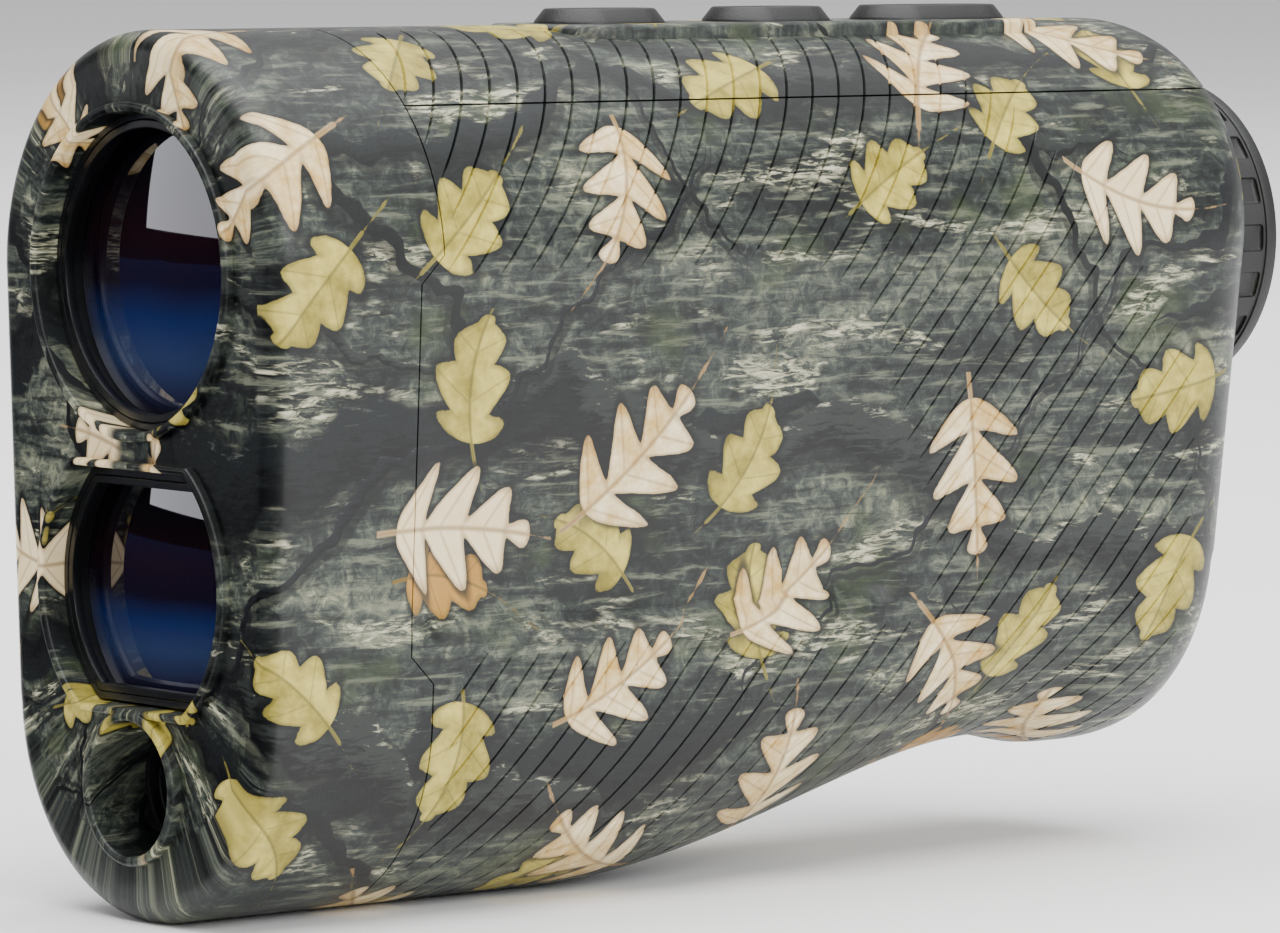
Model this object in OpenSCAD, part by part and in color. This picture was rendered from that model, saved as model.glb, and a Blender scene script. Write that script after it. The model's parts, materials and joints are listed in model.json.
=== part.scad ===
// Pocket laser rangefinder: camouflage clamshell housing, two large front lenses over a small
// emitter, three top buttons, and an eyepiece with a focusing ring.
// Millimetres. +Z is up, the lenses look along -Y, the eyepiece looks along +Y.
// Inside the modules, y = 0 is the front face and z = 0 is the optical axis; placed() then
// moves everything so that the origin is the centre of the whole bounding box.

/* [Housing] */
// Length from the front face to the rear face, on the optical axis
body_l = 109; // [106:0.5:125]
// Radius of the rounded crown, which is half the body width
crown_r = 19.4; // [19:0.1:24]
// Radius of the rounded keel
keel_r = 17.6; // [17:0.1:19]
// Depth of the keel's centre under the optical axis, at the front
keel_drop = 35.2; // [34:0.1:43]
// How far the underside rises towards the rear
keel_rise = 9.2; // [4:0.1:10]
// Where the underside starts to rise
rise_start = 38; // [30:1:45]
// Where the underside stops rising
rise_end = 90; // [80:1:92]
// Wall thickness of the covers
wall = 1.8; // [1.2:0.1:2.2]
// Rounding of the front edge
front_round = 2; // [1:0.1:3]
// Rounding of the rear edge
rear_round = 8; // [6:0.1:9]
// Rounding of the rear edge along the underside
rear_round_low = 3.5; // [3:0.1:8]
// Lean of the rear face, millimetres back for each millimetre up
rear_lean = 0.07; // [0:0.01:0.16]
// Depth of the rounded foot under the rear end
foot_drop = 1.2; // [0:0.1:1.5]

/* [Seams] */
// Rear edge of the front cover
seam_y = 16.6; // [15:0.1:18]
// Rear edge of the front cover beside the smooth side panel
seam_panel_y = 14.3; // [12:0.1:14.8]
// Top of the smooth side panel
panel_top = 0.4; // [-2:0.1:2]
// Bottom of the smooth side panel
panel_bottom = -30.6; // [-32:0.1:-28]
// Height of the seam under the top cover
shoulder_z = 13.4; // [12.6:0.1:15]
// Gap left in each seam
seam_gap = 0.1; // [0.05:0.01:0.2]

/* [Front openings] */
// Outer radius of the objective bezel
objective_r = 13.7; // [13:0.1:14]
// Outer radius of the receiver bezel
receiver_r = 12.9; // [12.4:0.1:13.2]
// Depth of the receiver's centre under the optical axis
receiver_drop = 25.4; // [25:0.1:27]
// Height of the receiver's flat top edge above its centre
receiver_flat_up = 10.1; // [9:0.1:10.2]
// Depth of the receiver's flat bottom edge below its centre
receiver_flat_down = 10.5; // [9:0.1:10.6]
// Outer radius of the emitter bezel
emitter_r = 6.3; // [6:0.1:6.8]
// Depth of the emitter's centre under the optical axis
emitter_drop = 41.7; // [41:0.1:44]
// Width of each bezel's lip
lip_w = 0.8; // [0.5:0.1:0.8]
// How far the lens bezels stand out of the front face
lip_h = 0.8; // [0.4:0.1:1.2]
// How far the emitter bezel stands out of the front face
emitter_lip_h = 1; // [0.6:0.1:1.4]
// Thickness of the front wall
front_wall = 3; // [2.4:0.1:3.5]
// Depth of the black lens rings behind the front face
ring_depth = 1.4; // [1:0.1:1.8]
// Depth of the emitter barrel behind the front face
emitter_depth = 4.7; // [3.5:0.1:5]

/* [Lenses] */
// Wall of the lens barrels
barrel_wall = 0.6; // [0.5:0.05:0.8]
// Width of the lens retaining rings
retainer_w = 0.7; // [0.5:0.1:1]
// Thickness of a lens retaining ring
retainer_t = 0.9; // [0.6:0.1:1.2]
// Thickness of the front lenses
lens_t = 3; // [2.6:0.1:4]
// Radius of the lens surfaces
lens_curve = 62; // [50:1:90]
// Radius of the emitter lens
emitter_lens_r = 4.1; // [3.6:0.1:4.3]
// Static clearance between fitted pieces
seat_gap = 0.05; // [0.03:0.01:0.1]

/* [Buttons] */
// Width of the buttons
button_w = 8; // [7:0.1:9]
// Length of the front and the middle button
button_l = 12; // [10:0.1:14]
// Length of the rear button
rear_button_l = 15.3; // [13:0.1:17]
// Distance from the front face to the front button
button_y = 48; // [46:0.1:50]
// Spacing of the buttons
button_pitch = 18.3; // [17.5:0.1:19]
// Height of the buttons above the pad
button_h = 1.25; // [0.8:0.05:2]
// Travel of the buttons
button_travel = 0.6; // [0.3:0.05:0.6]
// Gap round each button
button_gap = 0.3; // [0.25:0.01:0.4]
// Inward slope of the button sides over their height
button_taper = 0.9; // [0.4:0.1:1.2]
// Half width of the flat pad round the buttons
pad_half_w = 6.6; // [6.2:0.1:7]
// Height of the pad's flat top above the optical axis
pad_z = 19.45; // [19.45:0.05:24]

/* [Eyepiece] */
// Radius of the rubber eyecup
eyecup_r = 13.7; // [13.2:0.1:14.2]
// How far the eyecup stands behind the rear face
eyecup_out = 4.9; // [4:0.1:7]
// Width of the plain lip at the eyecup's end
eyecup_lip = 1.2; // [0.8:0.1:1.4]
// How much smaller the eyepiece tube's radius is than the eyecup's
eye_tube_in = 2.5; // [2.3:0.1:3.3]
// Running clearance of the focusing ring on the tube
focus_gap = 0.05; // [0.03:0.01:0.08]
// How much smaller the radius of the hole in the eyecup's end is than the eyecup's
eye_hole_in = 4.7; // [4.1:0.1:5.7]
// Number of grip pockets round the eyecup
pocket_count = 20; // [12:1:24]
// Depth of the grip pockets
pocket_depth = 0.5; // [0.3:0.05:0.7]

/* [Port and lanyard] */
// Width of the charging port's door
door_w = 12; // [11:0.1:14]
// Height of the charging port's door
door_h = 7.6; // [7:0.1:8.4]
// Thickness of the door
door_t = 1.8; // [1.4:0.1:2]
// Height of the door's hinge
door_hinge_z = -35.4; // [-35.6:0.1:-35]
// Radius of the door's hinge pin
door_pin_r = 0.5; // [0.4:0.05:0.6]
// Gap round the door
door_gap = 0.3; // [0.25:0.01:0.4]
// Width of the lanyard recess
lanyard_w = 6; // [5:0.1:7]
// Radius of the lanyard bar
lanyard_r = 1; // [0.8:0.1:1.2]

/* [Power and boards] */
// Radius of the rechargeable cell
cell_r = 7.2; // [6:0.1:7.3]
// Length of the rechargeable cell
cell_l = 34; // [28:0.5:36]
// Thickness of the circuit boards
board_t = 1; // [0.8:0.1:1.2]
// Radius of the screws
screw_r = 1; // [0.8:0.05:1.1]
// Thickness of the chassis plate
plate_t = 1.6; // [1.2:0.1:2]

/* [Hidden] */

RING_POINTS = 40;      // points round one section of the housing
ROUND = 64;            // facets that stand for a true circle
eps = 0.01;
eye_tube_r = eyecup_r - eye_tube_in;
eye_hole_r = eyecup_r - eye_hole_in;

// Box of the whole object, which the origin is the centre of
keel_bottom = -keel_drop - keel_r;
y_end = body_l + eyecup_out;
y_start = -max(lip_h, emitter_lip_h);
z_high = pad_z + button_h;
module placed() translate([0, -(y_end + y_start) / 2, -(z_high + keel_bottom) / 2]) children();

// ---- helpers -------------------------------------------------------------------------------

function clamp01(t) = min(1, max(0, t));
function smooth(t) = let(c = clamp01(t)) c * c * (3 - 2 * c);

// A cylinder along +Y from y0 to y1
module rod(r, y0, y1) translate([0, y0, 0]) rotate([-90, 0, 0]) cylinder(h = y1 - y0, r = r, $fn = ROUND);
// A cylinder along X between -half and +half
module cross_rod(r, half) rotate([0, 90, 0]) cylinder(h = 2 * half, r = r, center = true, $fn = 32);
// A tube along +Y
module tube(r_out, r_in, y0, y1) difference() {
    rod(r_out, y0, y1);
    rod(r_in, y0 - 1, y1 + 1);
}
// A box from a low corner to a high corner
module block(lo, hi) translate(lo) cube(hi - lo);
// An outline in X and Z, drawn from y0 to y1
module slab(y0, y1) translate([0, y1, 0]) rotate([90, 0, 0]) linear_extrude(y1 - y0) children();

// ---- housing surface -----------------------------------------------------------------------

// Where the keel's centre is at station y
function keel_z(y) = -keel_drop + keel_rise * smooth((y - rise_start) / (rise_end - rise_start))
    - foot_drop * smooth((y - rise_end) / 8);
// How far the section is drawn in by the rounded ends, where r_front and r_rear are their radii
function drawn_in(y, y0, y1, r_front, r_rear) =
    y < y0 + r_front ? r_front - sqrt(max(0, r_front * r_front - pow(y0 + r_front - y, 2))) :
    y > y1 - r_rear ? r_rear - sqrt(max(0, r_rear * r_rear - pow(y - y1 + r_rear, 2))) : 0;
// One section: two arcs joined by their common tangents. The walls take off inset all round, and
// the rounded end takes off less along the underside, by the factor low.
function section(y, inset, round_in, low) =
    let(
        drop = -keel_z(y),
        top_r = crown_r - inset - round_in,
        bottom_r = keel_r - inset - round_in,
        tilt = asin((top_r - bottom_r) / drop),
        half = RING_POINTS / 2,
        lean = rear_lean * smooth((y - body_l / 2) / (body_l / 2))
    )
    [for (i = [0:RING_POINTS - 1])
        let(
            upper = i < half,
            share = upper ? i / (half - 1) : (i - half) / (half - 1),
            a = upper ? -tilt + share * (180 + 2 * tilt) : 180 + tilt + share * (180 - 2 * tilt),
            r = upper ? top_r : bottom_r - round_in * (1 - low) * sin(a),
            x = r * cos(a),
            z = upper ? r * sin(a) : -drop + r * sin(a)
        )
        [x, y + lean * z, z]];
// Stations: close together on the rounded ends and over the rise, further apart elsewhere
function stations(y0, y1, r_front, r_rear) = concat(
    [for (i = [0:4]) y0 + r_front * (1 - cos(i * 22.5))],
    [for (i = [1:12]) y0 + r_front + (y1 - r_rear - y0 - r_front) * i / 13],
    [for (i = [0:5]) y1 - r_rear + r_rear * sin(i * 18)]
);
// A closed solid through the sections
module lofted(y0, y1, r_front, r_rear, inset) {
    ys = stations(y0, y1, r_front, r_rear);
    n = RING_POINTS;
    rings = len(ys);
    points = [for (y = ys) each section(y, inset, drawn_in(y, y0, y1, r_front, r_rear),
        y > y1 - r_rear ? rear_round_low / rear_round : 1)];
    sides = [for (r = [0:rings - 2], i = [0:n - 1])
        let(a = r * n + i, b = r * n + (i + 1) % n)
        each [[a, b, a + n], [b, b + n, a + n]]];
    caps = [[for (i = [n - 1:-1:0]) i], [for (i = [0:n - 1]) (rings - 1) * n + i]];
    polyhedron(points = points, faces = concat(sides, caps));
}
module outer_body() lofted(0, body_l, front_round, rear_round, 0);
module inner_body() lofted(front_wall, body_l - wall, 0.5, rear_round - wall, wall);

// Everything in front of the cover seam, seen from the side
module seam_side(shift) translate([-crown_r - 5, 0, 0]) rotate([90, 0, 90])
    linear_extrude(2 * crown_r + 10) polygon([
        [-20, 40], [seam_y + shift, 40],
        [seam_y + shift, panel_top + 1.2], [seam_panel_y + shift, panel_top - 1.1],
        [seam_panel_y + shift, panel_bottom], [seam_y + shift, panel_bottom - 2.3],
        [seam_y + shift, -80], [-20, -80]
    ]);
// The straight edges of the top cover, seen from the front
shoulder_x = sqrt(crown_r * crown_r - shoulder_z * shoulder_z);
module top_region(shift) slab(-10, body_l + 20) polygon([
    [-shoulder_x - shift, 60], [-shoulder_x - shift, shoulder_z - shift],
    [shoulder_x + shift, shoulder_z - shift], [shoulder_x + shift, 60]
]);

// ---- front cover ---------------------------------------------------------------------------

objective_hole = objective_r - lip_w;
receiver_hole = receiver_r - lip_w;
emitter_hole = emitter_r - lip_w;
// A circle with a flat top and bottom: the circle grown by d and the flats moved out by dz
module receiver_outline(d, dz) translate([0, -receiver_drop]) intersection() {
    circle(receiver_r + d, $fn = ROUND);
    translate([-receiver_r - 1, -receiver_flat_down - dz])
        square([2 * receiver_r + 2, receiver_flat_up + receiver_flat_down + 2 * dz]);
}
// Bosses that take the chassis screws
screw_spots = [
    for (s = [-1, 1]) [s * (crown_r - wall - 3), -receiver_drop * 0.53],
    for (s = [-1, 1]) [s * (keel_r - 7.1), -keel_drop - 6.8]
];
screw_depth = 3.5;
module front_cover() placed() color("#5a6157") difference() {
    union() {
        difference() {
            intersection() {
                outer_body();
                seam_side(0);
            }
            inner_body();
        }
        rod(objective_r, -lip_h, front_wall);
        slab(-lip_h, front_wall) receiver_outline(0, 0);
        for (p = screw_spots) translate([p[0], 0, p[1]]) rod(screw_r + 1.2, front_wall - eps, barrel_end);
        translate([0, 0, -emitter_drop]) rod(emitter_r, -emitter_lip_h, emitter_depth + 1);
    }
    rod(objective_hole, -5, front_wall + 1);
    slab(-5, front_wall + 1) receiver_outline(-lip_w, -lip_w);
    for (p = screw_spots) translate([p[0], 0, p[1]]) rod(screw_r + seat_gap, barrel_end - screw_depth - 0.5, barrel_end + 1);
    translate([0, 0, -emitter_drop]) rod(emitter_hole, -5, emitter_depth + 2);
}

// ---- side shells and top cover -------------------------------------------------------------

eye_hole = eyecup_r + 0.5;
// How far back the rear face is at height z
function rear_y(z) = body_l + rear_lean * z;
door_face_y = rear_y(door_hinge_z) - 0.4;
door_top_z = door_hinge_z + door_h - 1;
door_bottom_z = door_hinge_z - 1;
lanyard_z = keel_bottom + keel_rise - foot_drop + 4.3;
lanyard_y = rear_y(lanyard_z) - 5.2;
recess_y = lanyard_y - lanyard_r - 1.8;
recess_top = lanyard_z + lanyard_r + 0.8;

// Where the screws that join the two side shells cross, as y and z
joint_spots = [[seam_y + 21.4, -keel_drop - 9.3], [body_l - 21, -keel_drop + keel_rise - 10.5]];
head_x = -9.5;
head_t = 1.6;
thread_l = 7;
// Thicker walls where the door, the lanyard bar and the screws are held
module rear_blocks() intersection() {
    outer_body();
    union() {
        for (p = joint_spots) translate([0, p[0], p[1]]) cross_rod(screw_r + 1.7, crown_r);
        block([-door_w / 2 - 2.5, door_face_y - door_t - 2, recess_top],
            [door_w / 2 + 2.5, body_l, door_top_z + 2]);
        block([-lanyard_w / 2 - 2.5, recess_y - 1.5, -70],
            [lanyard_w / 2 + 2.5, body_l, recess_top + eps]);
    }
}
module rear_cuts() {
    for (p = joint_spots) translate([0, p[0], p[1]]) {
        translate([head_x, 0, 0]) rotate([0, 90, 0])
            cylinder(h = thread_l - head_x + 0.5, r = screw_r + seat_gap, $fn = 32);
        translate([head_x, 0, 0]) rotate([0, -90, 0]) cylinder(h = crown_r, r = 2 * screw_r + 0.2, $fn = 32);
    }
    rod(eye_hole, body_l - 12, body_l + 20);
    // door recess, the hole for the port behind it, and the door's hinge pin
    block([-door_w / 2 - door_gap, door_face_y - door_t - door_gap, door_bottom_z - door_gap],
        [door_w / 2 + door_gap, body_l + 9, door_top_z + door_gap]);
    block([-port_w / 2 - seat_gap, door_face_y - 12, port_z - port_h / 2 - seat_gap],
        [port_w / 2 + seat_gap, door_face_y, port_z + port_h / 2 + seat_gap]);
    translate([0, door_pin_y, door_hinge_z]) cross_rod(door_pin_r + seat_gap, door_w / 2 + 1.6);
    // lanyard recess and the bar's two seats
    block([-lanyard_w / 2, recess_y, -70], [lanyard_w / 2, body_l + 9, recess_top - 0.8]);
    translate([0, lanyard_y, lanyard_z]) cross_rod(lanyard_r + seat_gap, lanyard_w / 2 + 1.5);
}
module shell_stock() difference() {
    union() {
        difference() {
            outer_body();
            inner_body();
        }
        rear_blocks();
    }
    seam_side(seam_gap);
    top_region(0);
    rear_cuts();
}
module shell_screws() placed() color("#9a9da0") for (p = joint_spots) translate([head_x, p[0], p[1]])
    difference() {
        union() {
            translate([-eps, 0, 0]) rotate([0, 90, 0]) cylinder(h = thread_l - head_x, r = screw_r, $fn = 32);
            rotate([0, -90, 0]) cylinder(h = head_t, r = 2 * screw_r, $fn = 32);
        }
        for (a = [0, 90]) rotate([a, 0, 0]) block([-head_t - 1, -1.2, -0.25], [-head_t + 0.7, 1.2, 0.25]);
    }
module half_space(side) translate([side > 0 ? seam_gap / 2 : -60 - seam_gap / 2, -10, -90]) cube([60, 160, 140]);
module side_shell_right() placed() color("#565d50") intersection() {
    shell_stock();
    half_space(1);
}
module side_shell_left() placed() color("#505749") intersection() {
    shell_stock();
    half_space(-1);
}

// Button outlines, from a rectangle with round ends
module stadium(length, width) {
    square([width, length - width], center = true);
    for (s = [-1, 1]) translate([0, s * (length - width) / 2]) circle(width / 2, $fn = ROUND);
}
button_ys = [button_y, button_y + button_pitch, button_y + 2 * button_pitch];
button_ls = [button_l, button_l, rear_button_l];
pad_y0 = button_y - button_l / 2 - 4;
pad_y1 = button_ys[2] + rear_button_l / 2 + 3;
flange_z = pad_z - 2.2;
module top_cover() placed() color("#4d5449") difference() {
    union() {
        intersection() {
            difference() {
                outer_body();
                inner_body();
            }
            top_region(-seam_gap);
        }
        translate([0, (pad_y0 + pad_y1) / 2, flange_z]) linear_extrude(pad_z - flange_z)
            stadium(pad_y1 - pad_y0, 2 * pad_half_w);
    }
    seam_side(seam_gap);
    rod(eye_hole, body_l - 12, body_l + 20);
    // the flat under the pad that the button flanges rest against
    translate([0, (pad_y0 + pad_y1) / 2, flange_z - 5]) linear_extrude(5)
        stadium(pad_y1 - pad_y0 - 1.6, 2 * pad_half_w - 1.6);
    for (i = [0:2]) translate([0, button_ys[i], flange_z - 1]) linear_extrude(6)
        stadium(button_ls[i] + 2 * button_gap, button_w + 2 * button_gap);
}

// ---- buttons -------------------------------------------------------------------------------

dome_top = flange_z - 1.2 - button_travel - 0.1;
button_board_top = dome_top - 0.5;
module button(i) {
    length = button_ls[i];
    straight = length - button_w;
    r = button_w / 2;
    top_r = r - button_taper;
    above = button_h + 0.6;
    placed() translate([0, button_ys[i], 0]) color("#1b1c1d") difference() {
        union() {
            // tapered head: a cone at each end and a wedge between them
            translate([0, 0, z_high - above]) {
                for (s = [-1, 1]) translate([0, s * straight / 2, 0])
                    cylinder(h = above, r1 = r, r2 = top_r, $fn = ROUND);
                slab(-straight / 2, straight / 2) polygon([[-r, 0], [r, 0], [top_r, above], [-top_r, above]]);
            }
            translate([0, 0, flange_z - 0.6]) linear_extrude(z_high - above - flange_z + 0.6) stadium(length, button_w);
            translate([0, 0, flange_z - 0.6]) linear_extrude(0.6) stadium(length + 1.8, button_w + 1.8);
            translate([0, 0, flange_z - 1.2]) cylinder(h = 1, r = 1.4, $fn = 32);
        }
        translate([0, 0, z_high + 30 - 0.35]) sphere(30, $fn = 96);
    }
}
module front_button() button(0);
module middle_button() button(1);
module rear_button() button(2);
module button_board() placed() color("#1f5a35")
    block([-5.6, button_ys[0] - 7, button_board_top - board_t], [5.6, button_ys[2] + 7, button_board_top]);
module dome_switches() placed() color("#c9c9c4") for (y = button_ys) translate([0, y, button_board_top])
    cylinder(h = dome_top - button_board_top, r1 = 2.6, r2 = 1.4, $fn = 32);

// ---- front lenses --------------------------------------------------------------------------

// A lens with both faces slightly domed, from y0, of radius r
module lens_body(r, y0, t, curve) translate([0, y0, 0]) rotate([-90, 0, 0]) intersection() {
    cylinder(h = t, r = r, $fn = ROUND);
    translate([0, 0, curve]) sphere(curve, $fn = 240);
    translate([0, 0, t - curve]) sphere(curve, $fn = 240);
}
barrel_end = 8;
objective_barrel_r = objective_hole - seat_gap;
objective_bore = objective_barrel_r - barrel_wall;
module objective_barrel() placed() color("#17181a") difference() {
    union() {
        rod(objective_barrel_r, ring_depth, barrel_end);
        rod(objective_r + 0.7, front_wall + seal_t, barrel_end);
    }
    rod(objective_bore, 0, barrel_end + 1);
}
module objective_retainer() placed() color("#0e0f10")
    tube(objective_bore - seat_gap, objective_bore - retainer_w, ring_depth, ring_depth + retainer_t);
module objective_lens() placed() color("#2a2440")
    lens_body(objective_bore - seat_gap, ring_depth + retainer_t + seat_gap, lens_t, lens_curve);
seal_t = 0.8;
module objective_seal() placed() color("#222222")
    tube(objective_r + 0.6, objective_barrel_r + seat_gap, front_wall + seat_gap, front_wall + seal_t - seat_gap);

receiver_bore_in = lip_w + seat_gap + barrel_wall;
module receiver_barrel() placed() color("#17181a") difference() {
    union() {
        slab(ring_depth, barrel_end) receiver_outline(-lip_w - seat_gap, -lip_w - seat_gap);
        slab(front_wall + seat_gap, barrel_end) receiver_outline(0, -lip_w - seat_gap);
    }
    slab(0, barrel_end + 1) receiver_outline(-receiver_bore_in, -receiver_bore_in);
}
module receiver_retainer() placed() color("#0e0f10") difference() {
    slab(ring_depth, ring_depth + retainer_t)
        receiver_outline(-receiver_bore_in - seat_gap, -receiver_bore_in - seat_gap);
    slab(0, barrel_end) receiver_outline(-receiver_bore_in - retainer_w, -receiver_bore_in - retainer_w);
}
module receiver_lens() placed() color("#2a2440") intersection() {
    slab(0, barrel_end) receiver_outline(-receiver_bore_in - seat_gap, -receiver_bore_in - seat_gap);
    translate([0, 0, -receiver_drop])
        lens_body(receiver_r + 1, ring_depth + retainer_t + seat_gap, lens_t, lens_curve);
}

// ---- emitter -------------------------------------------------------------------------------

emitter_end = 30;
module emitter_barrel() placed() translate([0, 0, -emitter_drop]) color("#131415") difference() {
    rod(emitter_hole - seat_gap, emitter_depth, emitter_end);
    rod(emitter_hole - 0.7, 0, emitter_depth + 1);
    rod(emitter_lens_r + 0.5, 0, emitter_depth + 2.2);
    rod(emitter_lens_r + seat_gap, 0, emitter_depth + 5.6);
    rod(emitter_lens_r - 0.8, 0, emitter_end - 4);
    rod(2.85, 0, emitter_end + 1);
}
module emitter_lens() placed() translate([0, 0, -emitter_drop]) color("#26304a")
    lens_body(emitter_lens_r, emitter_depth + 3.2, 2.3, 18);
module laser_diode() placed() translate([0, 0, -emitter_drop]) color("#c8a24a") {
    rod(2.8, emitter_end - 3, emitter_end + 0.8);
    rod(1.9, emitter_end - 5, emitter_end - 3 + eps);
    for (x = [-1.2, 1.2]) translate([x, 0, 0]) rod(0.25, emitter_end + 0.8 - eps, emitter_end + 5);
}
module laser_board() placed() color("#1f5a35") difference() {
    block([-8, emitter_end + 0.85, -emitter_drop - 6], [8, emitter_end + 0.85 + board_t, -emitter_drop + 5]);
    for (x = [-1.2, 1.2]) translate([x, 0, -emitter_drop]) rod(0.35, emitter_end, emitter_end + 4);
}

// ---- receiver electronics ------------------------------------------------------------------

sensor_y = 34;
bulkhead_t = 2.4;
shroud_y0 = barrel_end + bulkhead_t + seat_gap;
module receiver_shroud() placed() translate([0, 0, -receiver_drop]) color("#202224") difference() {
    translate([0, shroud_y0, 0]) rotate([-90, 0, 0])
        cylinder(h = sensor_y - shroud_y0, r1 = 10, r2 = 5.2, $fn = ROUND);
    translate([0, shroud_y0 - eps, 0]) rotate([-90, 0, 0])
        cylinder(h = sensor_y - shroud_y0 + 2 * eps, r1 = 9, r2 = 4.2, $fn = ROUND);
}
module photodiode() placed() translate([0, 0, -receiver_drop]) color("#c8a24a") {
    rod(3.1, sensor_y - 2.5, sensor_y + 0.4);
    rod(3.9, sensor_y + 0.4 - eps, sensor_y + 1);
}
module receiver_board() placed() color("#1f5a35")
    block([-9, sensor_y + 1 + seat_gap, -receiver_drop - 8],
        [9, sensor_y + 1 + seat_gap + board_t, plate_z - plate_t - seat_gap]);

// ---- chassis -------------------------------------------------------------------------------

rear_bulkhead_y = body_l - 25;
rail_x = 13.6;
rail_w = 1.6;
rail_h = 7;
prism_half = 8.4;
plate_z = -prism_half - 1.6;
// The inside of the housing at station y, less a working gap
module cavity_outline(y, gap) {
    top_r = crown_r - wall - gap;
    bottom_r = keel_r - wall - gap;
    circle(top_r, $fn = ROUND);
    translate([0, keel_z(y)]) circle(bottom_r, $fn = ROUND);
    tilt = asin((top_r - bottom_r) / -keel_z(y));
    top_x = top_r * cos(tilt) - eps;
    bottom_x = bottom_r * cos(tilt) - eps;
    polygon([
        [-top_x, -top_r * sin(tilt)], [-bottom_x, keel_z(y) - bottom_r * sin(tilt)],
        [bottom_x, keel_z(y) - bottom_r * sin(tilt)], [top_x, -top_r * sin(tilt)]
    ]);
}
module front_bulkhead() placed() color("#8f9499") difference() {
    slab(barrel_end + seat_gap, barrel_end + bulkhead_t) cavity_outline(barrel_end, 0.4);
    rod(objective_bore, 0, 30);
    translate([0, 0, -receiver_drop]) rod(9, 0, 30);
    translate([0, 0, -emitter_drop]) rod(emitter_hole, 0, 30);
    for (p = screw_spots) translate([p[0], 0, p[1]]) rod(screw_r + seat_gap, 0, 30);
}
module chassis_screws() placed() color("#b9bcc0") for (p = screw_spots) translate([p[0], 0, p[1]]) {
    rod(screw_r, barrel_end - screw_depth, barrel_end + bulkhead_t + eps);
    rod(1.9 * screw_r, barrel_end + bulkhead_t, barrel_end + bulkhead_t + 1.4);
}
module rear_bulkhead() placed() color("#8f9499") difference() {
    slab(rear_bulkhead_y, rear_bulkhead_y + bulkhead_t) intersection() {
        cavity_outline(rear_bulkhead_y, 0.6);
        translate([-30, -20]) square([60, button_board_top - board_t - seat_gap + 20]);
    }
    rod(eye_tube_r + seat_gap, 0, 120);
}
// A channel between the bulkheads, relieved where the light comes in
module chassis() placed() color("#7d8287") difference() {
    block([-rail_x, barrel_end + bulkhead_t + seat_gap, plate_z - plate_t],
        [rail_x, rear_bulkhead_y - seat_gap, plate_z + rail_h]);
    block([-rail_x + rail_w, 0, plate_z], [rail_x - rail_w, rear_bulkhead_y + 1, 30]);
    rod(objective_bore - 0.8, 0, prism_y - 22);
    rod(eye_tube_r + seat_gap, tube_y0 - seat_gap, body_l);
}

// ---- viewing optics ------------------------------------------------------------------------

prism_y = 48;
prism_l = 20;
module prism_outline() polygon([
    [prism_y, -prism_half], [prism_y + prism_l * 0.45, -prism_half], [prism_y + prism_l, prism_half * 0.1],
    [prism_y + prism_l * 0.6, prism_half], [prism_y, prism_half]
]);
module prism_block() placed() color("#bcd3d8") translate([-prism_half, 0, 0]) rotate([90, 0, 90])
    linear_extrude(2 * prism_half) prism_outline();
module roof_prism() placed() color("#c7dde0") translate([-prism_half, 0, 0]) rotate([90, 0, 90])
    linear_extrude(2 * prism_half) polygon([
        [prism_y + prism_l * 0.45 + 0.3, -prism_half], [prism_y + prism_l + 6, -prism_half],
        [prism_y + prism_l + 6, prism_half], [prism_y + prism_l * 0.6 + 0.3, prism_half],
        [prism_y + prism_l + 0.3, prism_half * 0.1]
    ]);
// A trough under the prisms, and in front of them a wall with the light's opening, which also
// carries the button board
module prism_bracket() placed() color("#3a3d40") difference() {
    union() {
        block([-prism_half - 1.4, prism_y - seat_gap, plate_z + seat_gap],
            [prism_half + 1.4, prism_y + prism_l + 7, -2]);
        block([-prism_half - 1.4, prism_y - 2.4, plate_z + seat_gap],
            [prism_half + 1.4, prism_y - seat_gap, prism_half + 1]);
        block([-3, prism_y - 2.4, prism_half], [3, prism_y - seat_gap, button_board_top - board_t - seat_gap]);
    }
    block([-prism_half - seat_gap, prism_y - seat_gap, -prism_half - seat_gap],
        [prism_half + seat_gap, prism_y + prism_l + 9, prism_half]);
    rod(prism_half - 1, prism_y - 5, prism_y + 1);
}
display_y = prism_y + prism_l + 9;
module display_frame() placed() color("#26282a") difference() {
    block([-9.8, display_y, plate_z + seat_gap], [9.8, display_y + 1.6, 10]);
    block([-8, display_y - 1, -8], [8, display_y + 3, 8]);
}
module display_panel() placed() color("#9fb3a8")
    block([-7.95, display_y + 0.3, -7.95], [7.95, display_y + 1.3, 7.95]);

tube_y0 = rear_bulkhead_y - 3;
tube_y1 = y_end - 2.4;
eye_bore = eye_tube_r - 1.3;
module eyepiece_tube() placed() color("#1a1b1c") difference() {
    union() {
        rod(eye_tube_r, tube_y0, tube_y1);
        rod(eye_tube_r + 1.2, rear_bulkhead_y + bulkhead_t + 0.05, rear_bulkhead_y + bulkhead_t + 2);
    }
    rod(eye_bore, tube_y0 - 1, tube_y1 + 1);
    difference() {
        rod(eye_tube_r + 3, ring_groove_y, ring_groove_y + 1);
        rod(eye_tube_r - 0.6, 0, y_end);
    }
}
module field_lens() placed() color("#b8ccd2") lens_body(eye_bore - seat_gap, tube_y0 + 4, 4, 40);
module eye_lens() placed() color("#b8ccd2") lens_body(eye_bore - seat_gap, tube_y1 - 6.2, 4.6, 30);
module eye_lens_retainer() placed() color("#101112")
    tube(eye_bore - seat_gap, eye_bore - 1.2, tube_y1 - 1.5, tube_y1 - 0.2);

// ---- focusing ring and eyecup --------------------------------------------------------------

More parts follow.
